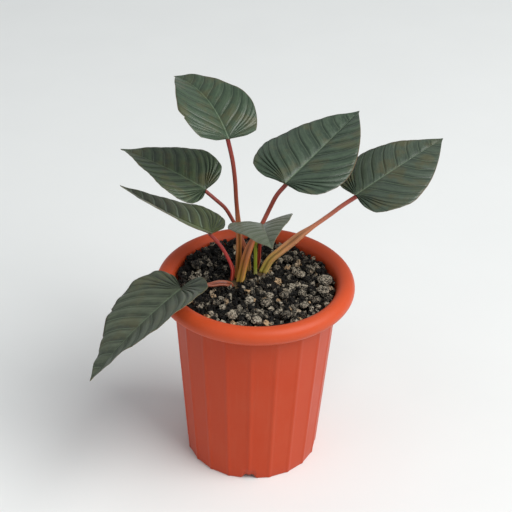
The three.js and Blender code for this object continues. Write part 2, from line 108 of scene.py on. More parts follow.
# ---- Leaves, in mm and degrees, as the CAD has them ----
LEAF_FIELDS = (
    "base heading rise roll length width droop sway twist cup curl lobe reach skew stalk"
).split()
LEAVES = {
    "leaf_top": (
        (-26, 12, 319), 114, 33, 3, 102, 73, 45, 13, 5, 22, -10, 30, 0, 0.1, (2.6, 1.9, 0.55),
    ),
    "leaf_left": (
        (-46, 22, 262.5), 157, 20, -13, 90, 71, 18, -5, 25, 13, 0, 5, 0.1, 0, (2, 1.7, 0.4),
    ),
    "leaf_left_low": (
        (-40, 10, 225), 157, 9, 20, 97, 75, -11, 0, 7, 11, 6, 4, 0.2, 0, (1.9, 1.6, 0.4),
    ),
    "leaf_right": (
        (24, 12, 276.5), 50, 16.5, 3.5, 117, 93, 7, 7, -8, 20, -32, 5, 0.3, 0, (3.6, 2, 0.5),
    ),
    "leaf_far_right": (
        (86, 10, 267.5), 30, 23.5, 0.5, 104, 82, 18, 11, 18, 6, -15, 5, 0, -0.06, (3.9, 2, 0.62),
    ),
    "leaf_young": (
        (5.7, -6, 245), -91, 29.5, 11, 72, 58.5, 33, 7, 8, 18, -17, 0, 1, -0.07, (1.7, 1.5, 0.4),
    ),
    "leaf_drooping": (
        (-65.3, -35, 194), 230, -8.5, 16.5, 117, 91, 27, -18.5, 7, 15.5, -4, 29, 0.8, 0.03,
        (2.6, 1.9, 0.5),
    ),
}
ROUTES = {
    "leaf_top": (
        (-16.5, 12.5, 176.3), (-15.8, 11.5, 195.7), (-15.7, 11.3, 217.1), (-16.9, 11.4, 237.9),
        (-18.7, 11.4, 258.4), (-20.1, 11.6, 278.5), (-22.6, 11.8, 298.2),
    ),
    "leaf_left": (
        (-6, 24.5, 176.3), (-7.3, 23.5, 190.7), (-11.2, 23, 204.8), (-16.4, 22.5, 218.7),
        (-22.4, 22, 232.4), (-28.8, 22, 243.7), (-37.8, 22, 252.7),
    ),
    "leaf_left_low": (
        (-21.5, 8, 176.3), (-20.9, 8, 187), (-25.3, 8.5, 199.4), (-32.6, 9.3, 212.5),
    ),
    "leaf_right": (
        (-14, 5, 176.3), (-9, 5.8, 202.8), (-4.4, 6.8, 217.1), (5.4, 8.5, 238.2),
        (11.2, 9.8, 252.1), (17, 11, 264.8),
    ),
    "leaf_far_right": (
        (6.8, 22.5, 176.3), (12.8, 21.5, 190.1), (21.6, 20, 200.5), (30.4, 19, 209.9),
        (39, 17.5, 219.6), (47.7, 16, 228.1), (65.5, 13, 245.6), (73.9, 11.5, 254.4),
    ),
    "leaf_young": (
        (0.8, 27, 176.3), (2.3, 24, 186.3), (3, 19, 202.4), (3.4, 12.6, 215.5), (5.3, 3.2, 233),
    ),
    "leaf_drooping": (
        (-21.5, -1, 176.3), (-26, -5.5, 180.8), (-31.8, -7.4, 182.4), (-39.7, -13, 184.3),
        (-49.3, -18.8, 186.8),
    ),
}
SPEAR_ROUTE = ((-0.3, 18.5, 176.3), (-0.6, 18.5, 197), (-0.6, 18, 212))
SPEAR_RADII = (1.6, 0.5)
OUTLINE = (
    (0, 0), (-0.045, 0.15), (-0.085, 0.36), (-0.085, 0.6), (-0.02, 0.83), (0.1, 0.97), (0.25, 1),
    (0.42, 0.9), (0.6, 0.68), (0.76, 0.42), (0.88, 0.2), (0.95, 0.07), (1, 0),
)
OUTLINE_SQUASH = 0.4
BLADE_HALF_THICKNESS = 0.22
VEIN_LEAN = 0.33
VEIN_BACK_BOW = 0.05
CORNER_ROUNDING = 0.12
LOBE_FULLNESS = 0.4

# Looks of each leaf: dark and light greens of the face, between which painted sheen, painted
# shade and its own mottle blend, how olive it is, how pale its vein lines are, how dark the
# painted shade in its troughs is, how deep its veins press in, in mm, how far its left and
# right margins wave, in mm, and the waves along a side.
LEAF_LOOKS = {
    "leaf_top": ((0.026, 0.048, 0.026), (0.078, 0.12, 0.07), 0.5, 0.3, 0.2, 0.6, 0.8, 0.9, 2.5),
    "leaf_left": ((0.022, 0.038, 0.02), (0.094, 0.136, 0.07), 0.55, 0.3, 0.4, 1.3, 0.7, 0.7, 2.0),
    "leaf_left_low": ((0.03, 0.042, 0.01), (0.13, 0.165, 0.05), 0.35, 1.0, 0.1, 1.2, 0.7, 0.7, 2.0),
    "leaf_right": ((0.022, 0.04, 0.024), (0.088, 0.128, 0.083), 0.4, 0.3, 0.5, 1.8, 0.7, 0.7, 2.0),
    "leaf_far_right": (
        (0.03, 0.046, 0.03), (0.085, 0.115, 0.08), 0.5, 0.3, 0.35, 1.4, 0.6, 0.5, 2.0,
    ),
    "leaf_young": ((0.08, 0.096, 0.06), (0.16, 0.18, 0.125), 0.2, 0.2, 0.1, 0.5, 0.6, 0.9, 2.0),
    "leaf_drooping": (
        (0.036, 0.046, 0.028), (0.125, 0.15, 0.098), 0.35, 0.35, 0.35, 1.5, 0.9, 1.7, 3.0,
    ),
}
# Nicks in the margins: side (1 left, -1 right), place along it, depth in half widths.
NICKS = {
    "leaf_top": ((1, 0.9, 0.12), (1, 0.36, 0.05)),
    "leaf_drooping": ((-1, 0.58, 0.05), (-1, 0.74, 0.07), (-1, 0.83, 0.05)),
}
NICK_LENGTH = 0.05
VEIN_SHIFT = 0.8
# Angle round a stalk from the middle of its channel to the wing beside it, in radians.
WING_ANGLE = 0.95
# Colours up each stalk: at the crown, in the middle of the sheath, above it, at the top.
STALK_TONES = {
    "leaf_top": ((0.5, 0.3, 0.04), (0.44, 0.17, 0.03), (0.26, 0.05, 0.022), (0.24, 0.022, 0.018)),
    "leaf_left": ((0.6, 0.4, 0.1), (0.42, 0.15, 0.04), (0.3, 0.06, 0.035), (0.24, 0.035, 0.025)),
    "leaf_left_low": (
        (0.6, 0.05, 0.03), (0.72, 0.055, 0.05), (0.62, 0.07, 0.065), (0.32, 0.045, 0.035),
    ),
    "leaf_right": ((0.76, 0.5, 0.08), (0.68, 0.25, 0.06), (0.38, 0.08, 0.045), (0.26, 0.04, 0.03)),
    "leaf_far_right": (
        (0.86, 0.78, 0.16), (0.95, 0.48, 0.18), (0.74, 0.26, 0.15), (0.34, 0.045, 0.04),
    ),
    "leaf_young": ((0.42, 0.12, 0.05), (0.5, 0.05, 0.04), (0.42, 0.03, 0.03), (0.3, 0.03, 0.03)),
    "leaf_drooping": (
        (0.36, 0.08, 0.03), (0.36, 0.09, 0.045), (0.36, 0.1, 0.06), (0.24, 0.06, 0.05),
    ),
}
# The way that each stalk's channel faces.
STALK_FACES = {
    "leaf_top": (0.3, -0.9, 0.1),
    "leaf_left": (0.5, -0.5, 0.6),
    "leaf_left_low": (0.5, -0.3, 0.7),
    "leaf_right": (-0.5, -0.7, 0.4),
    "leaf_far_right": (-0.35, -0.75, 0.55),
    "leaf_young": (0.0, -0.6, 0.6),
    "leaf_drooping": (0.1, -0.55, 0.8),
}

# ---- Camera, lights and floor, in metres and degrees, the lens in mm ----
CAMERA_PITCH = 32.4
CAMERA_ROLL = 1.44
CAMERA_LENS = 104.06
CAMERA_DISTANCE = 1.323
CAMERA_AIM = (-0.00008, 0, 0.2077)
LAMP_AIM = (0, 0, 0.2)
# Side of each square lamp, its place and its colour.
LAMPS = {
    "key": (2.6, (1.75, -0.9, 2.6), (1, 0.99, 0.97)),
    "fill": (1.2, (-1.1, -0.6, 0.8), (0.93, 0.97, 1)),
}
SKY = (0.93, 0.97, 1.0)
FLOOR_REACH = 6.0


# ---- Settings ----
def size_property(name, description, default, low, high, unit="NONE"):
    return bpy.props.FloatProperty(
        name=name, description=description, default=default, min=low, max=high, unit=unit
    )


def count_property(name, description, default, low, high):
    return bpy.props.IntProperty(
        name=name, description=description, default=default, min=low, max=high
    )


def colour_property(name, description, default):
    return bpy.props.FloatVectorProperty(
        name=name, description=description, default=default, size=3, min=0, max=1, subtype="COLOR"
    )


class HomalomenaPotSettings(bpy.types.PropertyGroup):
    """Colours and finish of the pot."""

    plastic: colour_property("Plastic", "Colour of the moulded plastic", (0.5, 0.05, 0.011))
    faded: colour_property("Faded", "Colour of the rim, paler from the sun", (0.57, 0.074, 0.021))
    dusty: colour_property("Dust", "Colour of the faint bloom on it", (0.54, 0.12, 0.06))
    roughness: size_property("Roughness", "How satin the plastic is", 0.42, 0.1, 1)


class HomalomenaLeafSettings(bpy.types.PropertyGroup):
    """How finely the leaves are made, and the colours that they share."""

    veins: count_property("Veins", "Main veins on each side of a blade", 15, 4, 24)
    rows: count_property("Rows", "Rows of faces along a blade", 240, 20, 400)
    steps: count_property("Steps", "Faces from the midrib to the margin", 24, 4, 80)
    vein: colour_property("Vein", "Colour of the veins", (0.2, 0.27, 0.17))
    under: colour_property("Underside", "Colour of the back of a blade", (0.2, 0.2, 0.11))
    margin: colour_property("Margin", "Colour of the thin edge line", (0.22, 0.13, 0.07))


class HomalomenaCinderSettings(bpy.types.PropertyGroup):
    """Sizes and colours of the cinders."""

    grains: count_property("Grains", "Loose cinders dropped on the bed", 2300, 100, 4000)
    smallest: size_property(
        "Smallest", "Radius of the finest grains", 1.1 * MM, 0.2 * MM, 10 * MM, "LENGTH"
    )
    largest: size_property(
        "Largest", "Radius of the largest loose grains", 4.0 * MM, 0.5 * MM, 20 * MM, "LENGTH"
    )
    black: colour_property("Black", "Colour of the darkest cinders", (0.006, 0.0055, 0.005))
    grey: colour_property("Grey", "Colour of the weathered cinders", (0.52, 0.46, 0.36))
    tan: colour_property("Tan", "Colour of the few brown cinders", (0.56, 0.36, 0.19))


class HomalomenaStageSettings(bpy.types.PropertyGroup):
    """Floor and lights."""

    floor: colour_property("Floor", "Colour of the floor", (0.83, 0.845, 0.84))
    key: size_property("Key light", "Power of the main soft light", 112, 0, 900, "POWER")
    fill: size_property("Fill light", "Power of the weak light opposite it", 2, 0, 500, "POWER")
    sky: size_property("Surrounding light", "Strength of the light from all round", 0.41, 0, 5)


# ---- Shader maths ----
def maths(operation):
    """A method that adds a Math node."""

    def method(self, *others):
        inputs = dict(enumerate((self, *others)))
        return self.finish.node("ShaderNodeMath", {"operation": operation}, inputs)

    return method


class Value:
    """A shader socket that takes part in Python sums: each operator adds a Math node."""

    def __init__(self, finish, socket):
        self.finish = finish
        self.socket = socket

    __add__ = __radd__ = maths("ADD")
    __sub__ = maths("SUBTRACT")
    __mul__ = __rmul__ = maths("MULTIPLY")
    __abs__ = maths("ABSOLUTE")
    sine = maths("SINE")

    def __rsub__(self, other):
        return (self * -1) + other

    def step(self, low, high):
        """0 below low, 1 above high and smooth between."""
        return self.finish.node(
            "ShaderNodeMapRange",
            {"interpolation_type": "SMOOTHSTEP"},
            {"Value": self, "From Min": low, "From Max": high},
        )


class Finish:
    """A material with one Principled shader, and the method that adds every other node."""

    def __init__(self, name):
        self.material = bpy.data.materials.new(name)
        self.material.use_nodes = True
        self.tree = self.material.node_tree
        self.shader = self.tree.nodes["Principled BSDF"]

    def node(self, kind, settings=None, inputs=None, output=0):
        """A node of a kind: its settings, such as an operation, then the values or links of
        its sockets. Returns one of its outputs."""
        made = self.tree.nodes.new(kind)
        for key, value in (settings or {}).items():
            setattr(made, key, value)
        for key, value in (inputs or {}).items():
            self.put(made.inputs[key], value)
        return Value(self, made.outputs[output])

    def put(self, socket, value):
        if isinstance(value, Value):
            self.tree.links.new(value.socket, socket)
        elif socket.type == "RGBA":
            socket.default_value = (*value, 1)
        else:
            socket.default_value = value

    def mix(self, factor, first, second):
        """Colour first where factor is 0 and second where it is 1."""
        settings = {"data_type": "RGBA", "clamp_factor": True}
        return self.node("ShaderNodeMix", settings, {0: factor, 6: first, 7: second}, output=2)

    def place(self):
        return self.node("ShaderNodeTexCoord", output=3)

    def map(self, name):
        return self.node("ShaderNodeUVMap", {"uv_map": name})

    def axis(self, vector, index):
        return self.node("ShaderNodeSeparateXYZ", None, {0: vector}, output=index)

    def stretched(self, scale, vector=None):
        """Object coordinates, or another vector, stretched along each axis."""
        inputs = {"Vector": vector or self.place(), "Scale": scale}
        return self.node("ShaderNodeMapping", None, inputs)

    def noise(self, scale, detail, rough, at=None):
        inputs = {"Vector": at or self.place(), "Scale": scale, "Detail": detail, "Roughness": rough}
        return self.node("ShaderNodeTexNoise", None, inputs)

    def cells(self, scale):
        return self.node("ShaderNodeTexVoronoi", None, {"Vector": self.place(), "Scale": scale})

    def attribute(self, name, output=2):
        return self.node("ShaderNodeAttribute", {"attribute_name": name}, output=output)

    def surface(self, colour, roughness, bump, specular=0.5):
        """Sets the Principled shader. bump is a height, a strength and a distance in metres,
        or None."""
        sockets = {"Base Color": colour, "Roughness": roughness, "Specular IOR Level": specular}
        if bump:
            inputs = dict(zip(("Height", "Strength", "Distance"), bump))
            sockets["Normal"] = self.node("ShaderNodeBump", None, inputs)
        for key, value in sockets.items():
            self.put(self.shader.inputs[key], value)
        return self.material


# ---- Finishes ----
def pot_finish(settings):
    """Satin moulded plastic: a faint bloom in patches, fine streaks down it, small dark
    specks, and a rim faded by the sun."""
    f = Finish("terracotta_plastic")
    patches = f.noise(22, 4, 0.6).step(0.35, 0.75)
    streaks = f.noise(1, 3, 0.6, at=f.stretched((260, 260, 9))).step(0.45, 0.8)
    specks = f.noise(900, 2, 0.5).step(0.66, 0.74)
    rim_foot = (POT_HEIGHT - BEAD_RADIUS - LIP_DROP) * MM
    rim = f.axis(f.place(), 2).step(rim_foot - 3 * MM, rim_foot + 6 * MM)
    colour = f.mix(rim, settings.plastic, settings.faded)
    colour = f.mix(patches * 0.16 + streaks * 0.12, colour, settings.dusty)
    colour = f.mix(specks * 0.12, colour, (0.3, 0.05, 0.02))
    roughness = patches * 0.1 + streaks * 0.08 + (settings.roughness - 0.06)
    grain = f.noise(1400, 2, 0.5) * 0.4 + f.noise(160, 3, 0.5) * 0.6
    return f.surface(colour, roughness, (grain, 0.12, 0.4 * MM), 0.22)


def cinder_finish(settings):
    """Rough stone full of holes, black to grey, with a few brown lumps and pale dust. The
    holes are darkened with painted shade, and each grain's tone carries painted shade
    towards the back left of the bed.
    """
    f = Finish("volcanic_cinder")
    tone = f.attribute("tone")
    patches = f.noise(260, 4, 0.7)
    holes = f.cells(520).step(0.12, 0.5)
    grit = f.noise(1100, 3, 0.7)
    weather = (tone * 1.2 + patches * 1.2 + grit * 1.3 - 1.8).step(0.0, 0.7)
    colour = f.mix(weather, settings.black, settings.grey)
    brown = tone.step(0.91, 0.95) * (patches.step(0.3, 0.55) * 0.6 + 0.35)
    colour = f.mix(brown, colour, settings.tan)
    colour = f.mix(grit.step(0.55, 0.66) * tone.step(0.0, 0.8) * 0.7, colour, (0.54, 0.43, 0.3))
    # Painted shade: the holes are darkened almost to black.
    colour = f.mix((1 - holes) * 0.85, colour, (0.006, 0.006, 0.005))
    height = holes * 0.9 + patches * 0.8 + grit * 0.5
    return f.surface(colour, grit * 0.3 + 0.5, (height, 1.0, 2.2 * MM), 0.3)


def blade_finish(name, settings, looks):
    """Glossy leaf: pale hairlines along the veins in troughs darkened with painted shade,
    crests lightened with a painted sheen, one flank of each bulge painted lighter and the
    other darker as if lit from one side, pale painted sheen streaks along the veins, olive
    patches, a hairline edge and a dull back. The blade's own map runs across it in U and vein
    by vein in V."""
    dark, light, olive, lined, trough_shade_strength = looks[:5]
    f = Finish(name)
    uv = f.map("blade")
    across, along = f.axis(uv, 0), f.axis(uv, 1)
    out = abs(across * 2 - 1)
    count = math.pi * settings.veins
    turn = along * count + across.step(0.49, 0.51) * VEIN_SHIFT
    wave = abs(turn.sine())
    # Painted light and shade: one flank of each bulge between the veins is lighter and the other
    # darker, as if lit from one side.
    painted_side_light = (turn * 2).sine() * 0.5
    second = abs((along * (count * 3)).sine())
    patches = f.noise(48, 4, 0.6)
    mottle = f.noise(240, 4, 0.7)
    grain = f.noise(1500, 3, 0.6)
    # The streaks vary the roughness and bump, and in the colour they paint a pale sheen along the
    # veins.
    streaks = f.noise(1, 4, 0.65, at=f.stretched((7, 95, 1), uv))
    midrib = 1 - out.step(0.008, 0.03)
    fade = out.step(0.02, 0.1) * (1 - out.step(0.75, 1.0) * 0.6)
    vein = (1 - wave.step(0.02, 0.05 + 0.3 * lined)) * fade
    # Painted shade: the troughs between the veins are darkened.
    trough_shade = (1 - wave.step(0.05, 0.6)) * fade
    hair = (1 - second.step(0.05, 0.3)) * 0.25
    # Painted sheen and shade blended with the leaf's own mottle: lighter crests, lit and shaded
    # flanks and pale sheen streaks, with real patches and mottle.
    painted_sheen_and_mottle = wave.step(0.1, 1.0) * 0.3 + painted_side_light * fade * 0.35 + patches * 0.5 + mottle * 0.5
    painted_sheen_and_mottle = painted_sheen_and_mottle + streaks * 1.1 - 0.95
    colour = f.mix(painted_sheen_and_mottle, dark, light)
    colour = f.mix(patches.step(0.48, 0.66) * olive, colour, (0.085, 0.07, 0.024))
    # Painted shade in the troughs, towards half the dark green.
    colour = f.mix(trough_shade * trough_shade_strength, colour, [0.5 * c for c in dark])
    colour = f.mix(vein * lined + hair * 0.35, colour, settings.vein)
    colour = f.mix(midrib * (0.25 + 0.5 * lined), colour, settings.vein)
    colour = f.mix(grain.step(0.58, 0.75) * 0.2, colour, (0.2, 0.24, 0.18))
    colour = f.mix(out.step(0.985, 0.998) * 0.6, colour, settings.margin)
    back = f.mix(vein + midrib * 0.6, settings.under, (0.3, 0.22, 0.1))
    colour = f.mix(f.attribute("under"), colour, back)
    roughness = mottle * 0.2 + streaks * 0.25 + 0.13
    height = wave.step(0.0, 0.5) * 0.5 + second * 0.16 + mottle * 0.3 + grain * 0.1
    return f.surface(colour, roughness, (height + streaks * 0.8, 0.6, 0.6 * MM))


def stalk_finish():
    """Smooth fleshy stalk, coloured from its own tones, which carry painted shade in the
    channel, with fine lines along it.
    """
    f = Finish("leaf_stalk")
    tone = f.attribute("tone", output=0)
    lines = f.noise(1, 3, 0.6, at=f.stretched((26, 3.5, 1), f.map("stalk")))
    specks = f.noise(900, 3, 0.6)
    colour = f.mix(lines.step(0.42, 0.7) * 0.26, tone, (0.12, 0.025, 0.014))
    colour = f.mix(specks.step(0.58, 0.72) * 0.18, colour, (0.5, 0.3, 0.16))
    height = lines * 0.7 + specks * 0.3
    return f.surface(colour, specks * 0.15 + 0.34, (height, 0.35, 0.4 * MM), 0.45)


def shoot_finish():
    """Bright young leaf still rolled up, with fine lines and a paler foot."""
    f = Finish("young_shoot")
    uv = f.map("stalk")
    lines = f.noise(1, 3, 0.6, at=f.stretched((18, 2.5, 1), uv))
    colour = f.mix(lines, (0.2, 0.27, 0.015), (0.4, 0.47, 0.06))
    colour = f.mix((1 - f.axis(uv, 1).step(0.0, 0.25)) * 0.7, colour, (0.55, 0.5, 0.2))
    return f.surface(colour, lines * 0.2 + 0.3, (lines, 0.3, 0.3 * MM))


def crown_finish():
    """Fibrous brown rootstock."""
    f = Finish("rootstock")
    rings = f.noise(1, 4, 0.7, at=f.stretched((180, 180, 900)))
    fibres = f.noise(700, 4, 0.7)
    colour = f.mix(rings, (0.03, 0.018, 0.009), (0.22, 0.14, 0.06))
    colour = f.mix(fibres.step(0.55, 0.7) * 0.4, colour, (0.01, 0.008, 0.006))
    return f.surface(colour, fibres * 0.2 + 0.7, (rings + fibres, 0.8, 1.2 * MM))


def floor_finish(settings):
    """Plain pale floor with the faintest unevenness."""
    f = Finish("pale_floor")
    shade = [0.96 * c for c in settings.floor]
    colour = f.mix(f.noise(9, 3, 0.5), shade, settings.floor)
    return f.surface(colour, f.noise(14, 2, 0.5) * 0.06 + 0.8, None)


# ---- Surfaces ----
def smooth(value, low, high):
    """0 below low, 1 above high, and 3t^2 - 2t^3 between."""
    t = np.clip((value - low) / (high - low), 0, 1)
    return t * t * (3 - 2 * t)


def unit(vectors):
    return vectors / np.linalg.norm(vectors, axis=-1, keepdims=True)


def through(points, count, power=0.5, squash=None):
    """Points evenly spaced along a smooth line through the given ones: each stretch is a
    Hermite cubic whose end slopes come from the neighbours, spaced by distance to a power
    (0.5 centripetal, 0 even), and the line is then divided by its length."""
    p = np.asarray(points, float)
    p = np.vstack([2 * p[0] - p[1], p, 2 * p[-1] - p[-2]])
    gap = np.linalg.norm(np.diff(p, axis=0), axis=1)[:, None] ** power
    slope = np.diff(p, axis=0) / gap
    wide = (p[2:] - p[:-2]) / (gap[:-1] + gap[1:])
    tangent = slope[:-1] - wide + slope[1:]
    t = np.linspace(0, 1, 33)[None, :-1, None]
    a, b = p[1:-2, None], p[2:-1, None]
    m, n = (tangent[:-1] * gap[1:-1])[:, None], (tangent[1:] * gap[1:-1])[:, None]
    cubic = (2 * t**3 - 3 * t**2 + 1) * a + (t**3 - 2 * t**2 + t) * m
    cubic = cubic + (3 * t**2 - 2 * t**3) * b + (t**3 - t**2) * n
    line = np.vstack([cubic.reshape(-1, p.shape[1]), p[-2:-1]])
    measured = line * (1 if squash is None else np.asarray(squash))
    run = np.r_[0, np.cumsum(np.linalg.norm(np.diff(measured, axis=0), axis=1))]
    at = np.linspace(0, run[-1], count)
    return np.stack([np.interp(at, run, line[:, k]) for k in range(p.shape[1])], 1)


def grid_faces(rows, columns, ring=False, loop=False):
    """Quads of a grid. ring joins the last column to the first, loop the last row."""
    r = np.arange(rows if loop else rows - 1)[:, None]
    c = np.arange(columns if ring else columns - 1)[None, :]
    down, right = (r + 1) % rows, (c + 1) % columns
    corners = [r * columns + c, r * columns + right, down * columns + right, down * columns + c]
    return np.stack(np.broadcast_arrays(*corners), -1).reshape(-1, 4)


def repeated(faces, times, points):
    """The same faces several times, each time on the next so many points."""
    shift = np.arange(times)[:, None, None] * points
    return (faces[None] + shift).reshape(-1, faces.shape[1])


def welded(points, faces):
    """For each point, the first point on the same place, and the faces without what has no
    area: a quad with one side shrunk to a point becomes a triangle."""
    _, first, back = np.unique(np.round(points, 4), axis=0, return_index=True, return_inverse=True)
    place = first[back.ravel()]
    parts = []
    for part in faces:
        shrunk = place[part] == place[np.roll(part, -1, axis=1)]
        parts.append(part[~shrunk.any(1)])
        if part.shape[1] == 4:
            once = shrunk.sum(1) == 1
            parts.append(part[once][~shrunk[once]].reshape(-1, 3))
    return place, parts


def make_piece(
    name, points, faces, material, slot, nodes=(), uv=None, values=None, flat=False, weld=False
):
    """A mesh from points in mm on axes through the pot's middle, and arrays of faces. uv is
    a name and a pair per point, and values are named numbers or colours per point. weld
    joins points that lie on one place."""
    mesh = bpy.data.meshes.new(name)
    points = np.asarray(points, float)
    faces = [np.asarray(part) for part in faces]
    place = np.arange(len(points))
    if weld:
        place, faces = welded(points, faces)
    loops = np.concatenate([part.ravel() for part in faces])
    totals = np.concatenate([np.full(len(part), part.shape[1]) for part in faces])
    starts = np.r_[0, np.cumsum(totals)[:-1]]
    kept, corners = np.unique(place[loops], return_inverse=True)
    mesh.vertices.add(len(kept))
    mesh.vertices.foreach_set("co", (points[kept] * MM + AXIS).astype(np.float32).ravel())
    mesh.loops.add(len(loops))
    mesh.loops.foreach_set("vertex_index", corners.ravel().astype(np.int32))
    mesh.polygons.add(len(totals))
    mesh.polygons.foreach_set("loop_start", starts.astype(np.int32))
    mesh.polygons.foreach_set("loop_total", totals.astype(np.int32))
    mesh.polygons.foreach_set("use_smooth", np.full(len(totals), not flat))
    mesh.update(calc_edges=True)
    if mesh.validate():
        raise RuntimeError(name + " has faulty faces")
    if uv is not None:
        layer = mesh.uv_layers.new(name=uv[0])
        layer.data.foreach_set("uv", uv[1][loops].astype(np.float32).ravel())
    for key, data in (values or {}).items():
        data = np.asarray(data, np.float32)[kept]
        kind, field = ("FLOAT", "value") if data.ndim == 1 else ("FLOAT_COLOR", "color")
        mesh.attributes.new(key, kind, "POINT").data.foreach_set(field, data.ravel())
    mesh.materials.append(material)
    piece = bpy.data.objects.new(name, mesh)
    bpy.context.scene.collection.objects.link(piece)
    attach(piece, "root")
    if nodes:
        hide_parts(*nodes)
    return piece


# ---- Pot ----
def inner_radius(height):
    """Inner radius of the wall, straight from the foot to the rim."""
    share = height / (POT_HEIGHT - BEAD_RADIUS)
    return BASE_RADIUS - WALL + share * (INNER_TOP_RADIUS - 1 - BASE_RADIUS + WALL)


def arc(centre_radius, centre_height, radius, start, end, count):
    turn = np.radians(np.linspace(start, end, count))
    return np.stack(
        [centre_radius + radius * np.cos(turn), centre_height + radius * np.sin(turn)], 1
    )


def pot_profile():
    """Radius, height and share of the ribbing round a closed section of the pot's wall: out
    under the floor, down and up over the foot, up the body, round the hollow of the rolled
    rim, over the rim and down the inside to the floor."""
    bead_height, bead_radius = POT_HEIGHT - BEAD_RADIUS, RIM_RADIUS - BEAD_RADIUS
    lip, lip_radius = bead_height - LIP_DROP, RIM_RADIUS - LIP_INSET
    foot = BASE_RADIUS - FOOT_WIDTH
    floor_top = FLOOR_RAISE + FLOOR_THICKNESS
    body = np.linspace(0, 1, 16)[:, None]
    body_line = [BASE_RADIUS, 1.2] + body * [BODY_TOP_RADIUS - BASE_RADIUS, lip - 1.2]
    parts = [
        ([[FLOOR_JOIN_RADIUS, FLOOR_RAISE], [foot - 1.2, FLOOR_RAISE], [foot - 0.5, 5.4]], 0),
        ([[foot, 1.0], [foot + 0.3, 0.25], [foot + 0.8, 0.0]], 0),
        ([[BASE_RADIUS - 1.0, 0.0], [BASE_RADIUS - 0.3, 0.3]], 1),
        (body_line, 1),
        ([[BODY_TOP_RADIUS + 0.15, lip + 2.5]], 0.5),
        ([[BODY_TOP_RADIUS + 0.2, bead_height - 2]], 0),
        (arc(bead_radius, bead_height, BEAD_RADIUS - WALL, 165, -55, 16), 0),
        ([[lip_radius - WALL + 0.1, lip + 1.6], [lip_radius - WALL + 0.4, lip + 0.2]], 0),
        ([[lip_radius - 0.8, lip - 0.1], [lip_radius + 0.3, lip], [lip_radius + 0.8, lip + 0.4]], 0),
        ([[lip_radius + 0.8, lip + 1.0], [lip_radius + 0.2, lip + 1.5]], 0),
        ([[lip_radius + 0.5, lip + 2.1]], 0),
        (arc(bead_radius, bead_height, BEAD_RADIUS, -62, 180, 34), 0),
        ([[INNER_TOP_RADIUS - 0.5, bead_height - 4]], 0),
        ([[inner_radius(bead_height - 14), bead_height - 14]], 0),
        ([[inner_radius(90), 90], [inner_radius(floor_top + 2), floor_top + 2]], 0),
        ([[inner_radius(floor_top) - 2, floor_top], [FLOOR_JOIN_RADIUS, floor_top]], 0),
    ]
    rows = [np.c_[np.asarray(line, float), np.full(len(line), share)] for line, share in parts]
    return np.vstack(rows)


def pot_shell():
    """Each point is (r + share * rib(a)) on bearing a, where rib keeps the panels flat and
    raises a low cosine rib between them; the foot's underside is lifted into an arch at
    each notch."""
    profile = pot_profile()
    bearing = np.arange(0, 360, 0.75)
    pitch = 360 / PANELS
    offset = (bearing - PANEL_PHASE + pitch / 2) % pitch - pitch / 2
    half = pitch / 2 - RIB_HALF_ANGLE
    from_middle = np.minimum(half, pitch / 2 - np.abs(offset))
    chord = np.cos(np.radians(half)) / np.cos(np.radians(from_middle)) - 1
    rise = RIB_RISE * np.cos(np.clip(offset / RIB_HALF_ANGLE, -1, 1) * math.pi / 2) ** 2
    r, z, share = (profile[:, k, None] for k in range(3))
    radius = r + share * (r * chord + rise)
    near = np.min([np.abs((bearing - b + 180) % 360 - 180) for b in NOTCH_BEARINGS], axis=0)
    arch = NOTCH_HEIGHT * (1 - smooth(near, NOTCH_FLAT_HALF_ANGLE, NOTCH_HALF_ANGLE))
    height = np.maximum(z, np.where(z < NOTCH_HEIGHT + 1, arch, 0))
    a = np.radians(bearing)
    points = np.stack([radius * np.cos(a), radius * np.sin(a), height], -1)
    faces = grid_faces(len(profile), len(bearing), ring=True, loop=True)
    return points.reshape(-1, 3), [faces]


def pot_floor():
    """A round plate with a ring of holes. Each sector round a hole is a grid: its rows go
    from the hole straight out to the border, over the top, down the border and back below.
    Where two sectors meet, the border has no wall, so that they can be welded."""
    sector = 2 * math.pi / DRAIN_COUNT
    reach = FLOOR_JOIN_RADIUS + 0.3
    corner = reach * np.array([math.cos(sector / 2), math.sin(sector / 2)])
    hole = np.array([DRAIN_RING_RADIUS, 0.0])
    line = np.linspace(0, 1, 9)[:, None]
    turn = np.linspace(sector / 2, -sector / 2, 13)[1:-1]
    rim = reach * np.stack([np.cos(turn), np.sin(turn)], 1)
    border = np.vstack([(line[::-1] * corner * [1, -1])[:-1], line * corner, rim])
    met = 2 * len(line) - 1
    shares = np.array([0, 0.25, 0.6, 1.0])[:, None, None]
    inner = hole + DRAIN_RADIUS * unit(border - hole)
    plate = inner + shares * (border - inner)
    top = np.insert(plate, 2, FLOOR_RAISE + FLOOR_THICKNESS, axis=2)
    section = np.concatenate([top, np.insert(plate[::-1], 2, FLOOR_RAISE, axis=2)])
    rows, columns = section.shape[:2]
    faces = grid_faces(rows, columns, ring=True, loop=True)
    row, column = np.divmod(faces, columns)
    at_border = (row >= len(shares) - 1) & (row <= len(shares))
    faces = faces[~(at_border & (column < met)).all(1)]
    bearings = math.radians(DRAIN_PHASE) + sector * np.arange(DRAIN_COUNT)
    c, s = np.cos(bearings)[:, None, None], np.sin(bearings)[:, None, None]
    x, y, z = (section[None, ..., k] for k in range(3))
    points = np.stack(np.broadcast_arrays(c * x - s * y, s * x + c * y, z + 0 * c), -1)
    return points.reshape(-1, 3), [repeated(faces, DRAIN_COUNT, rows * columns)]


# ---- Cinders ----
def soil_height(x, y):
    """Height of the bed: a level with a bank that rises towards the back left."""
    bearing = math.radians(SOIL_BANK_BEARING)
    along = (x * math.cos(bearing) + y * math.sin(bearing)) / INNER_TOP_RADIUS
    return SOIL_LEVEL + SOIL_BANK * smooth(along, 0.2, 1)


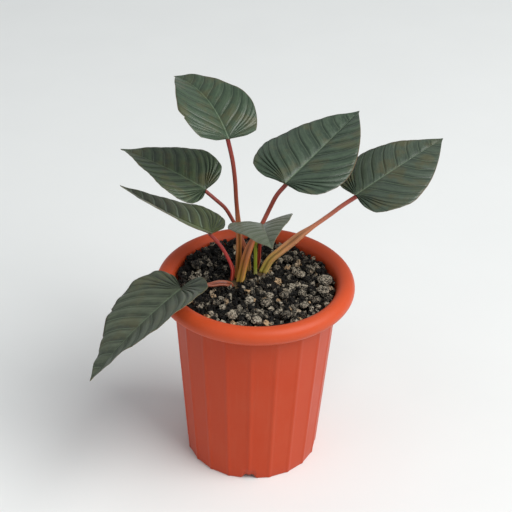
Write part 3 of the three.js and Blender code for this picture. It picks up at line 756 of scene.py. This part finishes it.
def cube_grid(step):
    """Points of a cube's faces divided at the steps, and quads that face out."""
    grid = np.stack(np.meshgrid(step, step, indexing="ij"), -1).reshape(-1, 2)
    sheets = [np.insert(grid, axis, side, axis=1) for axis in range(3) for side in (-1.0, 1.0)]
    quads = repeated(grid_faces(len(step), len(step)), len(sheets), len(grid))
    points, back = np.unique(np.round(np.vstack(sheets), 9), axis=0, return_inverse=True)
    quads = back.ravel()[quads]
    a, b, c = (points[quads[:, k]] for k in range(3))
    inward = (np.cross(b - a, c - a) * points[quads].mean(1)).sum(1) < 0
    quads[inward] = quads[inward][:, ::-1]
    return points, quads


def rounded_block():
    """A cube's corners, edge middles and face middles, partly rounded, with its 24 quads."""
    points, quads = cube_grid(np.array([-1.0, 0.0, 1.0]))
    return unit(points) * np.linalg.norm(points, axis=1, keepdims=True) ** 0.35, quads


def fine_ball(level):
    """A cube's faces divided evenly and blown up to a ball, with its quads."""
    points, quads = cube_grid(np.tan(np.linspace(-1, 1, level + 1) * math.pi / 4))
    return unit(points), quads


def coarse_boxes():
    """Middles and half sizes of the coarse cinders, in mm on axes through the pot's middle."""
    names = [f"cinder_{i + 1:02d}" for i in range(COARSE_CINDERS)]
    low = np.array([tuple(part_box(n)[0]) for n in names])
    high = np.array([tuple(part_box(n)[1]) for n in names])
    return names, ((low + high) / 2 - AXIS) / MM, (high - low) / 2 / MM


def settle_grains(settings, draw):
    """Drops grains one by one on a height map. Each tries several places and keeps the one
    where it comes to rest lowest against the bed's wanted height, then raises the map."""
    count = int(2 * MAP_REACH / MAP_PITCH)
    axis = (np.arange(count) + 0.5) * MAP_PITCH - MAP_REACH
    x, y = np.meshgrid(axis, axis, indexing="ij")
    ground = soil_height(x, y) - BED_DEPTH
    _, middles, halves = coarse_boxes()
    for (cx, cy, cz), half in zip(middles, halves):
        far = ((x - cx) / half[0]) ** 2 + ((y - cy) / half[1]) ** 2
        ground = np.where(far < 1, np.maximum(ground, cz + half[2] * 0.6), ground)
    for name, route in {**ROUTES, "spear": SPEAR_ROUTE}.items():
        radius = LEAVES[name][-1][0] if name in LEAVES else SPEAR_RADII[0]
        near = np.hypot(x - route[0][0], y - route[0][1])
        ground = np.where(near < radius + 0.5, BLOCKED, ground)
    wall = inner_radius(SOIL_LEVEL)
    total = settings.grains
    shares = draw.beta(1.5, 2.6, total)
    radii = (settings.smallest + (settings.largest - settings.smallest) * shares) / MM
    order = np.argsort(-radii * (0.75 + 0.5 * draw.random(total)))
    places = np.zeros((total, 4))
    for k, a in enumerate(radii[order]):
        distance = (wall - a * 0.9) * np.sqrt(draw.random(GRAIN_TRIES))
        turn = draw.random(GRAIN_TRIES) * 2 * math.pi
        px, py = distance * np.cos(turn), distance * np.sin(turn)
        i, j = (((p + MAP_REACH) / MAP_PITCH).astype(int) for p in (px, py))
        reach = int(math.ceil(a / MAP_PITCH))
        offsets = np.arange(-reach, reach + 1)
        wi = np.clip(i[:, None, None] + offsets[None, :, None], 0, count - 1)
        wj = np.clip(j[:, None, None] + offsets[None, None, :], 0, count - 1)
        inside = a * a - (offsets[:, None] ** 2 + offsets[None, :] ** 2) * MAP_PITCH**2
        belly = np.where(inside > 0, np.sqrt(np.maximum(inside, 0)) * GRAIN_SQUASH, -1e3)
        rest = (ground[wi, wj] + belly).max((1, 2))
        best = int(np.argmin(rest - soil_height(px, py)))
        z = rest[best] - GRAIN_SINK * a
        window = ground[wi[best], wj[best]]
        ground[wi[best], wj[best]] = np.maximum(window, np.where(inside > 0, z + belly, -1e3))
        places[k] = px[best], py[best], z, a
    kept = places[:, 2] < soil_height(places[:, 0], places[:, 1]) + GRAIN_STANDOUT
    return places[kept]


def painted_back_left_shade(places):
    """Weight of the painted shade on the cinders: 0 at the front right of the bed, 1 at its back
    left: a smooth step of 0.4 y - 0.8 x.
    """
    return smooth(0.4 * places[..., 1] - 0.8 * places[..., 0], -15, 45)


def loose_cinders(settings):
    """Every grain is the block, stretched, bent by random pushes, turned and moved to where
    it settled. Each has one random tone, t^(1 + 1.5 d), where d rises to 1 on the back
    left of the bed: painted shade that darkens the grains there."""
    draw = np.random.default_rng(GRAIN_SEED)
    places = settle_grains(settings, draw)
    block, quads = rounded_block()
    total = len(places)
    pushes = 1 + np.clip(draw.normal(0, GRAIN_PUSH, (total, len(block), 1)), -0.5, 0.5)
    stretch = draw.uniform(0.72, 1.15, (total, 1, 3))
    shapes = block[None] * pushes * stretch
    turns = unit(draw.normal(size=(total, 1, 4)))
    side = np.cross(turns[..., 1:], shapes)
    shapes = shapes + 2 * (turns[..., :1] * side + np.cross(turns[..., 1:], side))
    points = (shapes * places[:, None, 3:] + places[:, None, :3]).reshape(-1, 3)
    # Painted shade: the tones fall towards the back left of the bed.
    tone = np.repeat(draw.random(total) ** (1 + 1.5 * painted_back_left_shade(places)), len(block))
    return points, [repeated(quads, total, len(block))], tone


def lumpy(directions, seed):
    """Radius factor over a ball: 1 plus a few random waves of each length."""
    draw = np.random.default_rng(seed)
    radius = np.ones(len(directions))
    for count, pace, depth in CINDER_WAVES:
        way = unit(draw.normal(size=(count, 3))) * pace
        phase = draw.uniform(0, 2 * math.pi, count)
        radius += depth * np.sin(directions @ way.T + phase).mean(1) * math.sqrt(count)
    return radius


def coarse_cinders():
    """Balls whose radius is 1 plus waves of several lengths, less a few dozen round pits,
    fitted to the CAD's boxes."""
    names, middles, halves = coarse_boxes()
    ball, quads = fine_ball(26)
    points, tones = [], []
    draw = np.random.default_rng(PIT_SEED)
    for index, (middle, half) in enumerate(zip(middles, halves)):
        pits = unit(draw.normal(size=(PITS, 3)))
        wide = draw.uniform(0.1, 0.3, PITS)
        sunk = np.exp((ball @ pits.T - 1) / (wide * wide * 0.5)).sum(1)
        radius = lumpy(ball, WAVE_SEED + index) - PIT_DEPTH * np.minimum(sunk, 1.3)
        shape = ball * radius[:, None]
        low, high = shape.min(0), shape.max(0)
        points.append((shape - (low + high) / 2) / ((high - low) / 2) * half + middle)
        # Painted shade: the coarse cinders are darker towards the back left of the bed.
        tones.append(draw.uniform(0.5, 0.95) * (1 - 0.4 * painted_back_left_shade(middle)))
    faces = repeated(quads, len(names), len(ball))
    return names, (np.vstack(points), [faces], np.repeat(tones, len(ball)))


def bed_body():
    """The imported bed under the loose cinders: a lofted plug whose top dips and heaves, with
    one dark tone."""
    turn = np.linspace(0, 2 * math.pi, 120, endpoint=False)
    bottom = FLOOR_RAISE + FLOOR_THICKNESS + 0.3
    shares = np.linspace(1, 0.02, 40)
    top_radius = inner_radius(SOIL_LEVEL) - 0.5
    x = top_radius * shares[:, None] * np.cos(turn)
    y = top_radius * shares[:, None] * np.sin(turn)
    heave = 1.2 * np.sin(x * 0.9 + 1) * np.sin(y * 0.8) + 0.8 * np.sin(x * 1.9) * np.sin(y * 2.1)
    top = np.stack([x, y, soil_height(x, y) - 7.0 + heave], -1)
    low = inner_radius(bottom) - 0.5
    ring = np.stack([low * np.cos(turn), low * np.sin(turn), np.full(len(turn), bottom)], -1)
    rings = np.concatenate([[ring * [0.02, 0.02, 1]], [ring], top])
    points, faces = capped(rings.reshape(-1, 3), *rings.shape[:2])
    return points, faces, np.full(len(points), 0.1)


def capped(points, rows, columns):
    """A tube of rings with a fan over each end."""
    faces = grid_faces(rows, columns, ring=True)
    grid = points.reshape(rows, columns, 3)
    ends = np.vstack([grid[0].mean(0), grid[-1].mean(0)])
    ring = np.arange(columns)
    last = (rows - 1) * columns
    after = np.roll(ring, -1)
    fan_low = np.stack([np.full(columns, rows * columns), after, ring], 1)
    fan_high = np.stack([np.full(columns, rows * columns + 1), last + ring, last + after], 1)
    return np.vstack([points, ends]), [faces, fan_low, fan_high]


# ---- Leaves ----
def leaf_of(name):
    leaf = dict(zip(LEAF_FIELDS, LEAVES[name]))
    leaf["base"] = np.array(leaf["base"], float)
    return leaf


def turned(vectors, axis, angle):
    """Rodrigues: vectors turned about a unit axis by angles, broadcast."""
    c, s = np.cos(angle)[..., None], np.sin(angle)[..., None]
    along = (vectors @ axis)[..., None] * axis
    return vectors * c + np.cross(axis, vectors) * s + along * (1 - c)


def base_axes(leaf):
    """Unit vectors at the blade's base: ahead, left and up from its face."""
    h, r = math.radians(leaf["heading"]), math.radians(leaf["rise"])
    ahead = np.array([math.cos(h) * math.cos(r), math.sin(h) * math.cos(r), math.sin(r)])
    left = np.array([-math.sin(h), math.cos(h), 0.0])
    left = turned(left, ahead, np.array(math.radians(leaf["roll"])))
    return ahead, left, np.cross(ahead, left)


def bent(leaf, x, y):
    """Points of the flat blade (x in lengths, y in half widths) on the bent one, and their
    normals. The midrib is a helix: its axes turn about one fixed line by an angle that
    grows with x. Each half leaves the midrib at the cup angle on a circle."""
    ahead, left, up = base_axes(leaf)
    spin = left * leaf["droop"] + up * leaf["sway"] + ahead * leaf["twist"]
    angle = math.radians(np.linalg.norm(spin))
    axis = unit(spin)
    reach = np.where(x < 0, x * leaf["reach"], x)
    s = np.clip(reach, 0, 1)
    turn = angle * s
    flat_part = (ahead @ axis) * axis
    round_part = ahead - flat_part
    run = s[..., None] * flat_part + (
        np.sin(turn)[..., None] * round_part
        + (1 - np.cos(turn))[..., None] * np.cross(axis, ahead)
    ) / angle
    t, l, n = (turned(v, axis, turn) for v in (ahead, left, up))
    point = leaf["base"] + leaf["length"] * run
    back = (np.minimum(reach, 0) * leaf["length"])[..., None]
    lobe = math.radians(leaf["lobe"])
    point = point + back * (t * math.cos(lobe) - n * math.sin(lobe))
    side = np.sign(y)
    wide = np.abs(y) * (1 + side * leaf["skew"])
    out = wide * leaf["width"] / 2
    first = math.radians(leaf["cup"])
    curl = math.radians(leaf["curl"]) * wide
    half = curl / 2
    chord = out * np.sinc(half / math.pi)
    point = point + (side * chord * np.cos(first + half))[..., None] * l
    point = point + (chord * np.sin(first + half))[..., None] * n
    face = n * np.cos(first + curl)[..., None] - (side * np.sin(first + curl))[..., None] * l
    return point, unit(face)


def vein_grid(v, u, reach):
    """The flat blade on vein lines. v runs along the outline from the base to the tip, and
    u from 1 on the left margin over the midrib to -1. A vein goes from its root on the
    midrib, a set lean behind its end, to the outline and bows back on the way. Where the
    rear lobes are folded away, the corners they leave are rounded."""
    margin = through(OUTLINE, 400, power=0, squash=(1, OUTLINE_SQUASH))
    at = np.linspace(0, 1, len(margin))
    mx, my = np.interp(v, at, margin[:, 0]), np.interp(v, at, margin[:, 1])
    corner = smooth(my, 0.35, 1.0) * (1 - smooth(mx, 0.1, 0.45)) * (1 - reach)
    mx = mx + CORNER_ROUNDING * corner
    root = np.maximum(0, mx - VEIN_LEAN * my)
    w = np.abs(u)
    # 6.75 w^2 (1 - w) is 1 at its highest.
    bow = VEIN_BACK_BOW * my * 6.75 * w * w * (1 - w) * smooth(mx, 0, 0.3)
    return root * (1 - w) + mx * w - bow, np.sign(u) * my * w


def blade_mesh(name, settings):
    """Top and back of the blade: the bent sheet, raised between the veins by a power of
    |sin|, pressed in along the midrib, waved by the margin, and half a thickness each way.
    The two meet round the margin, and at the base and the tip."""
    leaf = leaf_of(name)
    leaf["reach"] = LOBE_FULLNESS + (1 - LOBE_FULLNESS) * leaf["reach"]
    depth, wave_left, wave_right, waves = LEAF_LOOKS[name][5:]
    v = (np.arange(1, settings.rows) / settings.rows)[:, None]
    u = np.linspace(1, -1, 2 * settings.steps + 1)
    u = (np.sign(u) * np.abs(u) ** 1.25)[None, :]
    v, u = np.broadcast_arrays(v, u)
    x, y = vein_grid(v, u, leaf["reach"])
    w = np.abs(u)
    for side, place, inset in NICKS.get(name, ()):
        after = np.maximum(v - place, 0) / NICK_LENGTH
        bite = inset * smooth(v, place - 0.006, place + 0.006) * np.exp(-after)
        y = y * (1 - np.where(side * u > 0, bite, 0) * w**4)
    point, face = bent(leaf, x, y)
    phase = np.where(u < 0, 0.0, VEIN_SHIFT) * smooth(w, 0, 0.1)
    ridge = np.abs(np.sin(math.pi * settings.veins * v + phase)) ** 0.8 - 0.55
    fade = smooth(w, 0.02, 0.35) * (1 - 0.75 * smooth(w, 0.6, 1.0)) * (1 - 0.8 * smooth(v, 0.7, 1))
    out = np.abs(y) * leaf["width"] / 2
    rib = np.exp(-((out / 1.4) ** 2)) * (1 - 0.75 * np.clip(x, 0, 1))
    lift = depth * ridge * fade - 0.55 * rib
    shift = np.sign(u) * 1.7 + sum(map(ord, name)) % 7
    wave = np.sin(2 * math.pi * waves * v + shift)
    wave = wave + 0.5 * np.sin(4.7 * math.pi * waves * v + 2 * shift)
    waviness = np.where(u > 0, wave_left, wave_right)
    lift = lift + waviness * wave * w**3 * smooth(v, 0, 0.15) * (1 - smooth(v, 0.85, 1))
    half = BLADE_HALF_THICKNESS * (1 - 0.5 * w**4)
    top = point + face * (lift + half)[..., None]
    back = point + face * (lift - 1.5 * rib - half)[..., None]
    ends, end_face = bent(leaf, np.array([0.0, 1.0]), np.array([0.0, 0.0]))
    poles = [ends + end_face * np.array(drop)[:, None] for drop in ((-0.55, 0.0), (-2.2, -0.2))]
    poles = np.stack(poles, 1).reshape(-1, 3)
    n_rows, n_cols = v.shape
    size = n_rows * n_cols
    faces = grid_faces(n_rows, n_cols)
    first, last = 2 * size, 2 * size + 2
    a = np.arange(n_cols - 1)
    tip = size - n_cols
    fans = [
        np.stack([np.full(n_cols - 1, pole), start + a + turn, start + a + 1 - turn], 1)
        for pole, start, turn in (
            (first, 0, 1), (first + 1, size, 0), (last, tip, 0), (last + 1, size + tip, 1)
        )
    ]
    walls = []
    for start, way in ((0, 1), (n_cols - 1, -1)):
        edge = np.r_[first, np.arange(n_rows) * n_cols + start, last]
        below = np.where(edge < size, edge + size, edge + 1)
        strip = np.stack([edge, below], 1)[::way]
        walls.append(np.c_[strip[:-1, 0], strip[1:], strip[:-1, 1]])
    points = np.vstack([top.reshape(-1, 3), back.reshape(-1, 3), poles])
    flat = np.stack([u * 0.5 + 0.5, v], -1).reshape(-1, 2)
    uv = np.vstack([flat, flat, [[0.5, 0], [0.5, 0], [0.5, 1], [0.5, 1]]])
    under = np.r_[np.zeros(size), np.ones(size), 0, 1, 0, 1]
    return points, [faces, faces[:, ::-1] + size, *fans, *walls], uv, under


def stem_mesh(route, radii, face, tones, groove=0.5, rows=90, columns=28):
    """A tube along a smooth route, closed with a fan at each end. Its section is an oval
    with a channel on the side that faces one way and a wing on each side of the channel;
    both fade out at the top of the sheath, where the radius falls to that of the bare
    stalk. The wings are paler than the tones blended along it, and the channel is darkened
    with painted shade."""
    line = through(route, rows)
    ahead = unit(np.gradient(line, axis=0))
    ahead[0] = (0, 0, 1)
    face = np.asarray(face, float)
    front = unit(face - (ahead @ face)[:, None] * ahead)
    side = np.cross(ahead, front)
    s = np.linspace(0, 1, rows)[:, None]
    bare = smooth(s, 0.6 * radii[2], radii[2])
    sheathed = 1 - bare
    radius = radii[0] + (radii[1] - radii[0]) * bare
    turn = np.linspace(0, 2 * math.pi, columns, endpoint=False)[None, :]
    away = np.abs((turn + math.pi) % (2 * math.pi) - math.pi)

    def mound(middle, width):
        return np.exp(-(((away - middle) / width) ** 2))

    section = 1 - 0.95 * sheathed * groove * mound(0, 0.5)
    section = section + 0.3 * sheathed * groove * mound(WING_ANGLE, 0.28)
    section = section + 0.05 * np.sin(turn * 7) * sheathed
    across = section * radius * np.sin(turn)
    deep = section * radius * np.cos(turn) * (1 - 0.22 * sheathed)
    points = line[:, None] + side[:, None] * across[..., None] + front[:, None] * deep[..., None]
    points[..., 2] = np.maximum(points[..., 2], route[0][2])
    points, faces = capped(points.reshape(-1, 3), rows, columns)
    places = np.array([0, 0.45 * radii[2], radii[2], 1.0])
    colour = [np.interp(s[:, 0], places, channel) for channel in np.transpose(tones)]
    colour = np.repeat(np.stack(colour, 1), columns, axis=0)
    wing = (mound(WING_ANGLE, 0.22) * sheathed).reshape(-1, 1)
    channel = (mound(0, 0.4) * sheathed).reshape(-1, 1)
    # Painted shade: the channel is darkened by up to 0.65; the wings' pinkish blend is the sheath's
    # own colour.
    colour = (colour + 0.5 * wing * (np.array([0.7, 0.3, 0.2]) - colour)) * (1 - 0.65 * channel)
    colour = np.vstack([colour, colour[:columns].mean(0), colour[-columns:].mean(0)])
    uv = np.stack(np.broadcast_arrays(turn / (2 * math.pi), s), -1).reshape(-1, 2)
    uv = np.vstack([uv, [[0.5, 0], [0.5, 1]]])
    return points, faces, uv, np.c_[colour, np.ones(len(colour))]


def stalk_top(leaf):
    """The stalk runs on a little way under the midrib."""
    ends, face = bent(leaf, np.array([0.02]), np.array([0.0]))
    return ends[0] - face[0] * (leaf["stalk"][1] + 0.2)


# ---- Operators ----
class HomalomenaStage(bpy.types.Operator):
    """Make the camera, the soft lights and the floor"""

    bl_idname = "homalomena.stage"
    bl_label = "Stage"

    def execute(self, context):
        settings = context.scene.homalomena_stage
        scene = context.scene
        pitch, roll = math.radians(CAMERA_PITCH), math.radians(CAMERA_ROLL)
        ahead = np.array([0, math.cos(pitch), -math.sin(pitch)])
        right = np.array([1.0, 0, 0])
        up = np.cross(right, ahead)
        across = math.cos(roll) * right + math.sin(roll) * up
        upright = math.cos(roll) * up - math.sin(roll) * right
        lens = bpy.data.cameras.new("camera")
        lens.sensor_width = 36
        lens.lens = CAMERA_LENS
        lens.clip_end = 30
        place = np.array(CAMERA_AIM) + AXIS - ahead * CAMERA_DISTANCE
        scene.camera = self.stand("camera", lens, (across, upright, -ahead), place)
        for name, (side, place, colour) in LAMPS.items():
            lamp = bpy.data.lights.new(name, "AREA")
            lamp.energy = getattr(settings, name)
            lamp.size = side
            lamp.color = colour
            back = unit(np.array(place) - LAMP_AIM)
            right = unit(np.cross([0, 0, 1], back))
            self.stand(name, lamp, (right, np.cross(back, right), back), place)
        world = bpy.data.worlds.new("surround")
        world.use_nodes = True
        back = world.node_tree.nodes["Background"]
        back.inputs["Color"].default_value = (*SKY, 1)
        back.inputs["Strength"].default_value = settings.sky
        scene.world = world
        scene.view_settings.view_transform = "Standard"
        mesh = bpy.data.meshes.new("floor")
        corners = [(-1, -1), (1, -1), (1, 1), (-1, 1)]
        corners = [(x * FLOOR_REACH, y * FLOOR_REACH, 0.0) for x, y in corners]
        mesh.from_pydata(corners, [], [(0, 1, 2, 3)])
        mesh.materials.append(floor_finish(settings))
        floor = bpy.data.objects.new("floor", mesh)
        scene.collection.objects.link(floor)
        return {"FINISHED"}

    def stand(self, name, data, axes, place):
        """An object at a place, whose own axes are three unit vectors."""
        matrix = np.eye(4)
        matrix[:3, :3] = np.stack(axes, 1)
        matrix[:3, 3] = place
        thing = bpy.data.objects.new(name, data)
        thing.matrix_world = Matrix(matrix.tolist())
        bpy.context.scene.collection.objects.link(thing)
        return thing


class HomalomenaPot(bpy.types.Operator):
    """Make the ribbed pot with its rolled rim and drained floor"""

    bl_idname = "homalomena.pot"
    bl_label = "Pot"

    def execute(self, context):
        finish = pot_finish(context.scene.homalomena_pot)
        make_piece("pot_shell", *pot_shell(), finish, "pot_plastic", ["pot"])
        make_piece("pot_floor", *pot_floor(), finish, "pot_plastic", ["pot"], flat=True, weld=True)
        return {"FINISHED"}


class HomalomenaCinders(bpy.types.Operator):
    """Make the bed, its loose cinders and the coarse ones on it"""

    bl_idname = "homalomena.cinders"
    bl_label = "Cinders"

    def execute(self, context):
        settings = context.scene.homalomena_cinders
        finish = cinder_finish(settings)
        names, coarse = coarse_cinders()
        for name, (points, faces, tone), slot, nodes in (
            ("bed_body", bed_body(), "cinder_bed", ["substrate"]),
            ("loose_cinders", loose_cinders(settings), "cinder_bed", ["substrate"]),
            ("coarse_cinders", coarse, "coarse_cinder", names),
        ):
            make_piece(
                name, points, faces, finish, slot, nodes,
                values={"tone": tone}, flat=name == "loose_cinders",
            )
        return {"FINISHED"}


class HomalomenaCrown(bpy.types.Operator):
    """Finish the crown that the stalks grow from"""

    bl_idname = "homalomena.crown"
    bl_label = "Crown"

    def execute(self, context):
        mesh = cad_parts["crown"].data
        mesh.materials.clear()
        mesh.materials.append(crown_finish())
        return {"FINISHED"}


class HomalomenaStalks(bpy.types.Operator):
    """Make the sheathed leaf stalks and the rolled young shoot"""

    bl_idname = "homalomena.stalks"
    bl_label = "Stalks"

    def execute(self, context):
        finish = stalk_finish()
        for name, route in ROUTES.items():
            leaf = leaf_of(name)
            path = [*route, tuple(stalk_top(leaf))]
            points, faces, uv, tone = stem_mesh(
                path, leaf["stalk"], STALK_FACES[name], STALK_TONES[name]
            )
            make_piece(
                name + "_stem", points, faces, finish, "leaf_stalk", [name + "_stalk"],
                uv=("stalk", uv), values={"tone": tone},
            )
        radii = (*SPEAR_RADII, 1.6)
        tones = [(0.4, 0.45, 0.06)] * 4
        points, faces, uv, _ = stem_mesh(SPEAR_ROUTE, radii, (0, -1, 0), tones, groove=0.25)
        make_piece(
            "rolled_shoot", points, faces, shoot_finish(), "young_shoot", ["spear"],
            uv=("stalk", uv),
        )
        return {"FINISHED"}


class HomalomenaBlades(bpy.types.Operator):
    """Make the heart-shaped leaf blades"""

    bl_idname = "homalomena.blades"
    bl_label = "Blades"

    def execute(self, context):
        settings = context.scene.homalomena_leaves
        for name in LEAVES:
            points, faces, uv, under = blade_mesh(name, settings)
            finish = blade_finish(name + "_face", settings, LEAF_LOOKS[name])
            make_piece(
                name + "_sheet", points, faces, finish, "leaf_blade", [name + "_blade"],
                weld=True, uv=("blade", uv), values={"under": under},
            )
        return {"FINISHED"}


class HomalomenaPanel(bpy.types.Panel):
    """Sizes, colours and buttons in the sidebar"""

    bl_idname = "VIEW3D_PT_homalomena"
    bl_label = "Homalomena"
    bl_space_type = "VIEW_3D"
    bl_region_type = "UI"
    bl_category = "Homalomena"

    def draw(self, context):
        for group in SETTINGS:
            settings = getattr(context.scene, group)
            for key in settings.bl_rna.properties.keys():
                if key not in {"rna_type", "name"}:
                    self.layout.prop(settings, key)
        for operator in OPERATORS:
            self.layout.operator(operator.bl_idname)


SETTINGS = {
    "homalomena_stage": HomalomenaStageSettings,
    "homalomena_pot": HomalomenaPotSettings,
    "homalomena_cinders": HomalomenaCinderSettings,
    "homalomena_leaves": HomalomenaLeafSettings,
}
OPERATORS = (
    HomalomenaStage,
    HomalomenaPot,
    HomalomenaCinders,
    HomalomenaCrown,
    HomalomenaStalks,
    HomalomenaBlades,
)


def register():
    for cls in (*SETTINGS.values(), *OPERATORS, HomalomenaPanel):
        bpy.utils.register_class(cls)
    for name, group in SETTINGS.items():
        setattr(bpy.types.Scene, name, bpy.props.PointerProperty(type=group))


def unregister():
    for name in SETTINGS:
        delattr(bpy.types.Scene, name)
    for cls in reversed((*SETTINGS.values(), *OPERATORS, HomalomenaPanel)):
        bpy.utils.unregister_class(cls)


def main():
    register()
    bpy.ops.homalomena.stage()
    bpy.ops.homalomena.pot()
    bpy.ops.homalomena.cinders()
    bpy.ops.homalomena.crown()
    bpy.ops.homalomena.stalks()
    bpy.ops.homalomena.blades()


if __name__ == "__main__":
    main()
